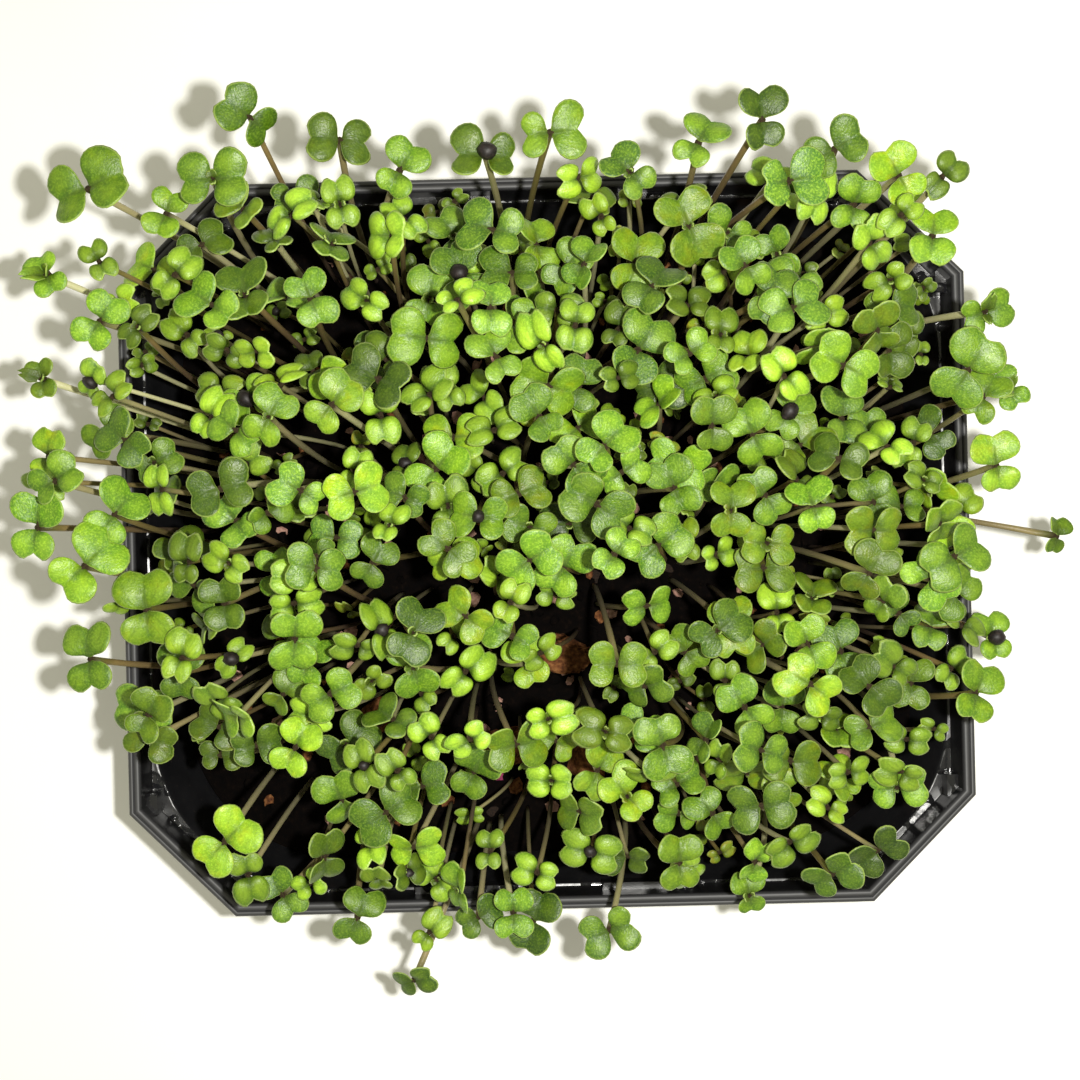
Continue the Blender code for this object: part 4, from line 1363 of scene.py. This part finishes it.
def layered(tree, colour, layers):
    """Lay colours over a first one, each as strong as its own mark or grain says."""
    for value, low, high, at_low, at_high, easing, code in layers:
        share = add_node(
            tree, "MapRange", {0: value, 1: low, 2: high, 3: at_low, 4: at_high}, interpolation_type=easing,
        ).outputs[0]
        colour = add_node(tree, "Mix", {0: share, 6: colour, 7: linear(code)}, data_type="RGBA").outputs[2]
    return colour


def seedling_material():
    """Living brassica tissue: satin cuticle, puffed green blades with pale rims, brown to cream stems."""
    material, tree = new_material("brassica_seedling_living_tissue")
    mark = {name: add_node(tree, "Attribute", attribute_name=name).outputs["Fac"] for name in MARKS}
    place = add_node(tree, "TexCoord").outputs["Object"]
    grain = {}
    for name, size, detail, roughness in SEEDLING_GRAINS:
        grain[name] = add_node(tree, "TexNoise", {
            "Vector": place, "Scale": per_mm(size), "Detail": detail, "Roughness": roughness,
        }).outputs["Fac"]
    round_fan = add_node(tree, "Math", {0: mark["fan"], 1: VEINS_ROUND}, operation="MULTIPLY").outputs[0]
    out_fan = add_node(tree, "Math", {0: mark["reach"], 1: VEINS_OUT}, operation="MULTIPLY").outputs[0]
    each = add_node(tree, "Math", {0: mark["tone"], 1: 90.0}, operation="MULTIPLY").outputs[0]
    fan = add_node(tree, "CombineXYZ", {"X": round_fan, "Y": out_fan, "Z": each}).outputs[0]
    veins = add_node(tree, "TexNoise", {
        "Vector": fan, "Scale": 1.0, "Detail": 3.0, "Roughness": 0.6,
    }).outputs["Fac"]
    shift = add_node(tree, "MapRange", {0: grain["mottle"], 1: 0.3, 2: 0.7, 3: -0.16, 4: 0.16}).outputs[0]
    tone = add_node(tree, "Math", {0: mark["tone"], 1: shift}, operation="ADD").outputs[0]
    blade = add_node(tree, "ValToRGB", {0: tone}, stops=BLADE_GREENS).outputs[0]
    # some seedlings are waxier than others
    own = add_node(tree, "Math", {0: each}, operation="FRACT").outputs[0]
    dull = add_node(tree, "MapRange", {0: own, 1: 0.6, 2: 1.0, 3: 0.0, 4: 0.2}).outputs[0]
    waxy = add_node(tree, "Math", {0: grain["wax"], 1: dull}, operation="ADD").outputs[0]
    blade = layered(tree, blade, (
        (waxy, 0.5, 0.76, 0.0, 0.42, "LINEAR", "#577c2e"),  # blue green waxy bloom
        (mark["lobe"], 0.2, 1.0, 0.0, 0.68, "SMOOTHSTEP", "#9cbe32"),  # painted highlight on the puffed lobes
        (veins, 0.42, 0.66, 0.0, 0.36, "LINEAR", "#3d5a12"),
        (grain["frost"], 0.48, 0.62, 0.0, 0.3, "LINEAR", "#a6ca3c"),  # pale speckle of the cuticle
    ))
    # painted shade: the blade colour is scaled by the shade mark, darker low in the crop
    blade = add_node(tree, "VectorMath", {0: blade, "Scale": mark["shade"]}, operation="SCALE").outputs[0]
    blade = layered(tree, blade, (
        (mark["reach"], 0.9, 3.2, 0.85, 0.0, "LINEAR", "#34440c"),  # dark middle where the two stalks meet: the stalks' brown and painted shade
        (mark["edge"], 0.92, 1.0, 0.0, 0.6, "SMOOTHSTEP", "#bcd070"),  # pale margin
        # painted shade along the midrib's fold
        (mark["rib"], 0.15, 1.0, 0.0, 0.7, "LINEAR", "#3c5015"),
        (mark["under"], 0.0, 1.0, 0.0, 0.5, "LINEAR", "#66883a"),
    ))
    # stem browns with painted shade at the soil and at the head
    stem = add_node(tree, "ValToRGB", {0: mark["along"]}, stops=STEM_BROWNS_AND_SHADE).outputs[0]
    below = add_node(tree, "MapRange", {0: mark["along"], 1: 0.88, 2: 1.0, 3: 1.0, 4: 0.0}).outputs[0]
    olive = add_node(tree, "MapRange", {0: own, 1: 0.2, 2: 1.0, 3: 0.0, 4: 0.5}).outputs[0]
    for share, code in ((olive, "#62602c"), (mark["tint"], "#b9b78c")):
        share = add_node(tree, "Math", {0: share, 1: below}, operation="MULTIPLY", use_clamp=True).outputs[0]
        stem = add_node(tree, "Mix", {0: share, 6: stem, 7: linear(code)}, data_type="RGBA").outputs[2]
    soil = add_node(tree, "ValToRGB", {0: grain["cells"]}, stops=BALL_BROWNS).outputs[0]
    body = stem
    for share, colour in ((mark["blade"], blade), (mark["earth"], soil)):
        body = add_node(tree, "Mix", {0: share, 6: body, 7: colour}, data_type="RGBA").outputs[2]
    skin = add_node(tree, "Math", {0: veins, 1: grain["cells"]}, operation="ADD").outputs[0]
    skin = add_node(tree, "Bump", {"Height": skin, "Strength": 0.6, "Distance": 0.15 * MM}).outputs[0]
    rough = add_node(tree, "MapRange", {0: grain["mottle"], 1: 0.3, 2: 0.7, 3: 0.34, 4: 0.5}).outputs[0]
    # stalks near the head, midribs and root balls are matt
    matt = add_node(tree, "MapRange", {0: mark["along"], 1: 0.9, 2: 1.0, 3: 0.0, 4: 0.9}).outputs[0]
    stalk = add_node(tree, "Math", {0: 1.0, 1: mark["blade"]}, operation="SUBTRACT").outputs[0]
    matt = add_node(tree, "Math", {0: matt, 1: stalk}, operation="MULTIPLY").outputs[0]
    for least in (mark["rib"], mark["earth"], rough):
        matt = add_node(tree, "Math", {0: matt, 1: least}, operation="MAXIMUM").outputs[0]
    close_material(tree, add_node(tree, "BsdfPrincipled", {
        "Base Color": body,
        "Roughness": matt,
        "IOR": 1.42,
        "Subsurface Weight": 0.08,
        "Subsurface Radius": (0.6, 1.0, 0.25),
        "Subsurface Scale": MM,
        "Normal": skin,
    }))
    return material


def plastic_material():
    """Thermoformed glossy black polypropylene: near black, soft highlights, faint scuffs, dust and a painted
    rim sheen.
    """
    material, tree = new_material("thermoformed_black_polypropylene")
    place = add_node(tree, "TexCoord").outputs["Object"]
    grain = {}
    for name, size, detail in (("scuff", 9.0, 5.0), ("dust", 0.7, 2.0), ("worn", 6.0, 2.0)):
        grain[name] = add_node(tree, "TexNoise", {
            "Vector": place, "Scale": per_mm(size), "Detail": detail,
        }).outputs["Fac"]
    height = add_node(tree, "SeparateXYZ", {0: place}).outputs["Z"]
    low = (TRAY_HEIGHT - LIP_FROM) * MM
    high = (TRAY_HEIGHT - LIP_TO) * MM
    lip = add_node(tree, "MapRange", {0: height, 1: low, 2: high}).outputs[0]
    black = add_node(tree, "ValToRGB", {0: grain["scuff"]}, stops=TRAY_BLACKS).outputs[0]
    colour = layered(tree, black, (
        (grain["dust"], 0.66, 0.74, 0.0, 0.35, "LINEAR", "#4b453d"),
        (lip, 0.0, 1.0, 0.0, 1.0, "LINEAR", "#343436"),  # painted sheen: the rim is greyer than the walls
    ))
    # the step in the wall is wet: polished in patches and slightly buckled
    facing = add_node(tree, "SeparateXYZ", {0: add_node(tree, "NewGeometry").outputs["Normal"]}).outputs["Z"]
    level = add_node(tree, "MapRange", {0: facing, 1: 0.6, 2: 0.9}).outputs[0]
    step = add_node(tree, "Math", {0: level, 1: lip}, operation="SUBTRACT", use_clamp=True).outputs[0]
    polish = add_node(tree, "MapRange", {0: grain["worn"], 1: 0.5, 2: 0.6}).outputs[0]
    polish = add_node(tree, "Math", {0: polish, 1: step}, operation="MULTIPLY").outputs[0]
    rough = add_node(tree, "MapRange", {0: polish, 3: 0.28, 4: 0.12}).outputs[0]
    rough = add_node(tree, "Mix", {0: lip, 2: rough, 3: 0.5}).outputs[0]
    buckle = add_node(tree, "Math", {0: polish, 1: 6.0}, operation="MULTIPLY").outputs[0]
    skin = add_node(tree, "Math", {0: grain["scuff"], 1: buckle}, operation="ADD").outputs[0]
    skin = add_node(tree, "Bump", {"Height": skin, "Strength": 0.4, "Distance": 0.5 * MM}).outputs[0]
    close_material(tree, add_node(tree, "BsdfPrincipled", {
        "Base Color": colour, "Roughness": rough, "IOR": 1.49, "Normal": skin,
    }))
    return material


def earthy_material(name, grain, stops, roughness, depth, specular=0.5):
    """A dry or damp crumbly matter: its colours by a fine grain, matt, with a rough skin."""
    material, tree = new_material(name)
    place = add_node(tree, "TexCoord").outputs["Object"]
    fine = add_node(tree, "TexNoise", {"Vector": place, "Scale": per_mm(grain), "Detail": 6.0}).outputs["Fac"]
    colour = add_node(tree, "ValToRGB", {0: fine}, stops=stops).outputs[0]
    skin = add_node(tree, "Bump", {"Height": fine, "Strength": 0.6, "Distance": depth * MM}).outputs[0]
    rough = add_node(tree, "MapRange", {0: fine, 1: 0.3, 2: 0.7, 3: roughness - 0.1, 4: roughness}).outputs[0]
    close_material(tree, add_node(tree, "BsdfPrincipled", {
        "Base Color": colour, "Roughness": rough, "IOR": 1.45, "Specular IOR Level": specular, "Normal": skin,
    }))
    return material


def make_materials():
    made = {"seedling": seedling_material(), "tray_plastic": plastic_material()}
    for name, (title, *settings) in EARTHY_MATTER.items():
        made[name] = earthy_material(title, *settings)
    return made


def make_tray(material):
    """The shell with its edges rounded, a groove along its lip and its lugs."""
    levels = tray_levels()
    rim_end = (RIM_WIDTH - 0.4, TRAY_HEIGHT)
    inner_edge = next(place for place, level in enumerate(levels) if level[:2] == rim_end)
    groove = [(inset, TRAY_HEIGHT - depth, CHAMFER - CUT_SHARE * inset, 0) for inset, depth in LIP_GROOVE]
    levels[inner_edge:inner_edge] = groove
    shoulder = next(place for place, level in enumerate(levels) if level[2] == SHOULDER_CORNER)
    step_z = TRAY_HEIGHT - SHOULDER_DEPTH
    levels[shoulder:shoulder] = [(inset, step_z - drop, *corner) for inset, drop, *corner in STEP_EDGE]
    levels = rounded(levels, EDGE_ROUNDING)
    points, faces = loft([ring(*level, corner_steps=FINE_CORNER_STEPS) for level in levels])
    caps = [list(face) for face in faces[-2:]]
    points = np.array(points)
    points = np.vstack([points, [points[cap].mean(0) for cap in caps]])
    fans = []
    for number, cap in enumerate(caps):
        tip = len(points) - 2 + number
        fans += [(cap[step], cap[(step + 1) % len(cap)], tip) for step in range(len(cap))]
    bunch = Bunch()
    bunch.add(points, np.array(faces[:-2]), np.array(fans))
    for lug_points, lug_faces in lug_shapes():
        bunch.add(np.array(lug_points), np.array(lug_faces), np.zeros((0, 3), int))
    settle(bunch.make("growing_tray", material, TRAY_SMOOTHING), "tray_plastic", "tray")


def make_soil(material):
    """The filling: the same outline as the soil's, with crumbs and hollows over its surface."""
    steps = (SOIL_SIDE_STEPS, SOIL_CORNER_STEPS)

    def fitted(z):
        return ring(wall_inset(z) + WALL_GAP, z, wall_corner(z) - WALL_GAP, 1, *steps)

    foot = ring(SOIL_FOOT_INSET, SOIL_BOTTOM, SOIL_FOOT_CORNER, 1, *steps)
    edge = fitted(SOIL_EDGE)
    rings = [foot, fitted(SOIL_FOOT_TOP), edge]
    for step in range(1, SOIL_RINGS):
        share = 1 - step / SOIL_RINGS
        level = []
        for point in edge:
            x = point.x * share
            y = point.y * share
            crumb = noise.noise(Vector((x, y, 3)) / CRUMB_LENGTHS[0])
            crumb += FINE_CRUMBS * noise.noise(Vector((x, y, 9)) / CRUMB_LENGTHS[1])
            rise = soil_height(x, y) + CRUMB_HEIGHT * crumb
            fade = min(1.0, (1 - share) / CRUMB_FADE)
            level.append(Vector((x, y, SOIL_EDGE + (rise - SOIL_EDGE) * fade)))
        rings.append(level)
    points, faces = loft(rings, cap_start=False, cap_end=False)
    count = len(edge)
    points = np.array(points + [Vector((0, 0, soil_height(0, 0))), Vector((0, 0, SOIL_BOTTOM))])
    last = len(points) - 2
    fans = [(last - count + step, last - count + (step + 1) % count, last) for step in range(count)]
    fans += [((step + 1) % count, step, last + 1) for step in range(count)]
    bunch = Bunch()
    bunch.add(points, np.array(faces), np.array(fans))
    settle(bunch.make("potting_mix", material, MIX_SMOOTHING), "potting_soil", "soil")


def scatter_crumbs(materials):
    """Crumbs of the mix, bits of coconut fibre and chaff lying over the soil, and one mauve seed husk."""
    draw = random.Random(EXTRA_SEED + 2)
    for name, material, slot, count, sizes, flatness in CRUMBS:
        bunch = Bunch()
        while count:
            x = draw.uniform(-SOIL_REACH[0], SOIL_REACH[0])
            y = draw.uniform(-SOIL_REACH[1], SOIL_REACH[1])
            if not in_rounded_box(x, y, SOIL_REACH, SOIL_CORNER):
                continue
            count -= 1
            size = draw.uniform(*sizes)
            flat = draw.uniform(*flatness)
            axes = (size, size * draw.uniform(*CRUMB_WIDTH), size * flat)
            centre = (x, y, soil_height(x, y) + CRUMB_LIFT * size)
            add_lump(bunch, draw, centre, axes, CRUMB_ROUGHNESS, CRUMB_SIDES)
        settle(bunch.make(name, materials[material], MIX_SMOOTHING), slot)
    x, y = MAUVE_PLACE
    husk = Bunch()
    add_lump(husk, draw, (x, y, soil_height(x, y) + MAUVE_LIFT), MAUVE_SIZE, MAUVE_ROUGHNESS, SKIN_SIDES)
    settle(husk.make("mauve_husk", materials["mauve_husk"], SKIN_SMOOTHING), "seed_coat")


def make_chunks(material):
    """Torn lumps of coconut fibre, with loose fibres standing out."""
    draw = random.Random(EXTRA_SEED + 3)
    sides = FINE_CHUNK_SIDES
    for number, (x, y, half_length, half_width, half_height, turn) in enumerate(CHUNKS, 1):
        centre = np.array((x, y, soil_height(x, y) + CHUNK_SINK))
        angle = math.radians(turn)
        rings = []
        for tilt in np.linspace(-FINE_CHUNK_TILT, FINE_CHUNK_TILT, FINE_CHUNK_RINGS):
            level = []
            for side in range(sides):
                around = math.tau * side / sides
                flat = math.cos(tilt)
                direction = Vector((flat * math.cos(around), flat * math.sin(around), math.sin(tilt)))
                rough = 1 + CHUNK_ROUGHNESS * noise.noise(direction * CHUNK_GRAIN + Vector((x, y, 0)))
                rough += TORN_ROUGHNESS * noise.noise(direction * TORN_GRAIN + Vector((y, x, 0)))
                across = direction.x * half_length * rough
                along = direction.y * half_width * rough
                level.append(Vector((
                    centre[0] + across * math.cos(angle) - along * math.sin(angle),
                    centre[1] + across * math.sin(angle) + along * math.cos(angle),
                    centre[2] + direction.z * half_height * rough,
                )))
            rings.append(level)
        points, faces = loft(rings, cap_start=False, cap_end=False)
        count = len(points)
        points = np.vstack([np.array(points), [np.array(rings[0]).mean(0), np.array(rings[-1]).mean(0)]])
        fans = [((step + 1) % sides, step, count) for step in range(sides)]
        last = count - sides
        fans += [(last + step, last + (step + 1) % sides, count + 1) for step in range(sides)]
        bunch = Bunch()
        bunch.add(points, np.array(faces), np.array(fans))
        for _ in range(CHUNK_FIBRES):
            add_fibre(bunch, draw, centre, (half_length, half_width, half_height), angle)
        lump = bunch.make(f"coconut_lump_{number}", material, MIX_SMOOTHING)
        settle(lump, "coconut_fibre", f"coir_chunk_{number}")


def add_fibre(bunch, draw, centre, size, angle):
    """One thin fibre that lies along a lump and stands out at its ends."""
    x = draw.uniform(-0.5, 0.5) * size[0]
    y = draw.uniform(-0.5, 0.5) * size[1]
    middle = np.array([x, y, FIBRE_HEIGHT * size[2]])
    heading = draw.gauss(0, FIBRE_SPREAD)
    length = draw.uniform(*FIBRE_LENGTHS)
    centres = []
    for share in np.linspace(-0.5, 0.5, FIBRE_POINTS):
        bend = FIBRE_BEND * math.sin(3 * share + heading)
        point = middle + np.array([
            length * share * math.cos(heading) - bend * math.sin(heading),
            length * share * math.sin(heading) + bend * math.cos(heading),
            -FIBRE_DROOP * share * share,
        ])
        centres.append((
            centre[0] + point[0] * math.cos(angle) - point[1] * math.sin(angle),
            centre[1] + point[0] * math.sin(angle) + point[1] * math.cos(angle),
            centre[2] + point[2],
        ))
    centres = np.array(centres)
    frames = []
    for step in range(FIBRE_POINTS):
        run = Vector(centres[min(step + 1, FIBRE_POINTS - 1)] - centres[max(step - 1, 0)]).normalized()
        frames.append(cross_frame(run, Vector((0, 0, 1))))
    across = np.array([frame[0] for frame in frames])
    beside = np.array([frame[1] for frame in frames])
    bunch.add(*tube(centres, across, beside, np.full(FIBRE_POINTS, FIBRE_RADIUS), FIBRE_SIDES))


def make_coats(clumps, taken, extras, material):
    """Shed seed coats: one for each of the part's own, and loose ones caught on other leaves."""
    draw = random.Random(EXTRA_SEED + 4)
    for number, shape in enumerate(place_coats(clumps, taken), 1):
        centre = np.array(shape[0]).mean(0)
        bunch = Bunch()
        size = (COAT_LENGTH * COAT_RADIUS, COAT_RADIUS, COAT_RADIUS)
        add_lump(bunch, draw, centre, size, COAT_ROUGHNESS, SKIN_SIDES)
        skin = bunch.make(f"seed_skin_{number}", material, SKIN_SMOOTHING)
        settle(skin, "seed_coat", f"seed_coat_{number}")
    bunch = Bunch()
    for seedling in draw.sample(extras, LOOSE_COATS):
        size = draw.uniform(*LOOSE_COAT_SIZES)
        centre = seedling["head"] + seedling["up"] * (0.75 * size + LOOSE_COAT_LIFT)
        add_lump(bunch, draw, centre, (1.15 * size, size, 0.9 * size), LOOSE_COAT_ROUGHNESS, LOOSE_COAT_SIDES)
    settle(bunch.make("seed_skins_loose", material, SKIN_SMOOTHING), "seed_coat")


def make_seedlings(clumps, extras, material):
    """One piece for each root ball: its own seedlings and the further ones that stand nearest to it."""
    draw = random.Random(EXTRA_SEED + 5)
    nearest = [[] for _ in clumps]
    for seedling in extras:
        gaps = [math.dist(seedling["root"].xy, place) for place, _ in clumps]
        nearest[gaps.index(min(gaps))].append(seedling)
    for number, (place, seedlings) in enumerate(clumps, 1):
        bunch = Bunch()
        top = soil_height(*place) + PLUG_RISE
        centre = (place[0], place[1], top - PLUG_DEPTH / 2)
        size = (PLUG_RADIUS, PLUG_RADIUS, PLUG_DEPTH / 2)
        add_lump(bunch, draw, centre, size, BALL_ROUGHNESS, BALL_SIDES, earth=1.0)
        for seedling in seedlings + nearest[number - 1]:
            add_seedling(bunch, draw, seedling)
        settle(bunch.make(f"seedlings_{number:02d}", material), "seedling", f"clump_{number:02d}")


def light_scene():
    """A small round flash beside the lens and a plain soft room."""
    data = bpy.data.lights.new("flash", "AREA")
    data.shape = "DISK"
    data.size = FLASH_SIZE * MM
    data.energy = FLASH_POWER
    data.color = linear(FLASH_COLOUR)[:3]
    flash = bpy.data.objects.new("flash", data)
    turn = math.radians(CAMERA_TURN)
    side = Vector((math.cos(turn), math.sin(turn), 0)) * FLASH_OFFSET
    flash.location = (Vector(CAMERA_PLACE) + side) * MM
    flash.visible_camera = False
    bpy.context.scene.collection.objects.link(flash)
    world = bpy.data.worlds.new("room")
    world.use_nodes = True
    background = world.node_tree.nodes["Background"]
    background.inputs["Color"].default_value = linear(ROOM_COLOUR)
    background.inputs["Strength"].default_value = ROOM_LIGHT
    bpy.context.scene.world = world


def make_floor():
    """A plain pale floor that reaches far beyond the view."""
    material, tree = new_material("plain_pale_floor")
    place = add_node(tree, "TexCoord").outputs["Object"]
    faint = add_node(tree, "TexNoise", {"Vector": place, "Scale": per_mm(60.0)}).outputs["Fac"]
    colour = add_node(tree, "ValToRGB", {0: faint}, stops=((0.3, "#f4f4f2"), (0.7, "#f6f6f5"))).outputs[0]
    close_material(tree, add_node(tree, "BsdfPrincipled", {"Base Color": colour, "Roughness": 0.9}))
    corners = [(FLOOR_REACH * x, FLOOR_REACH * y, 0) for x, y in ((-1, -1), (1, -1), (1, 1), (-1, 1))]
    floor = new_piece("floor", corners, [[(0, 1, 2, 3)]], material)


def place_camera():
    """The photograph's view: from straight above, turned a little."""
    data = bpy.data.cameras.new("camera")
    data.lens = LENS
    data.sensor_width = SENSOR
    data.clip_start = CLIP_NEAR * MM
    data.clip_end = CLIP_FAR * MM
    camera = bpy.data.objects.new("camera", data)
    camera.location = Vector(CAMERA_PLACE) * MM
    camera.rotation_euler = (0, 0, math.radians(CAMERA_TURN))
    bpy.context.scene.collection.objects.link(camera)
    bpy.context.scene.camera = camera


def build():
    place_camera()
    light_scene()
    bpy.context.scene.view_settings.view_transform = "Standard"
    make_floor()
    materials = make_materials()
    fixed = [tray_shape(), *lug_shapes(), *(chunk_shape(chunk, GAP) for chunk in CHUNKS)]
    taken = [tree_of(shape) for shape in fixed]
    clumps = [clump for clump in plan_clumps(taken) if clump[1]]
    own = [seedling for _, heads in clumps for seedling in heads]
    standing = Standing()
    for shape in fixed:
        standing.put(shape)
    for seedling in own:
        standing.put(seedling_shape(seedling))
    for place in COAT_PLACES:
        standing.put(coat_shape(Vector((*place, canopy(*place))), COAT_RADIUS))
    extras = plan_extras(standing, own)
    colour_in(own + extras)
    make_tray(materials["tray_plastic"])
    make_soil(materials["potting_soil"])
    make_chunks(materials["coconut_fibre"])
    scatter_crumbs(materials)
    make_coats(clumps, taken, extras, materials["seed_coat"])
    make_seedlings(clumps, extras, materials["seedling"])


build()
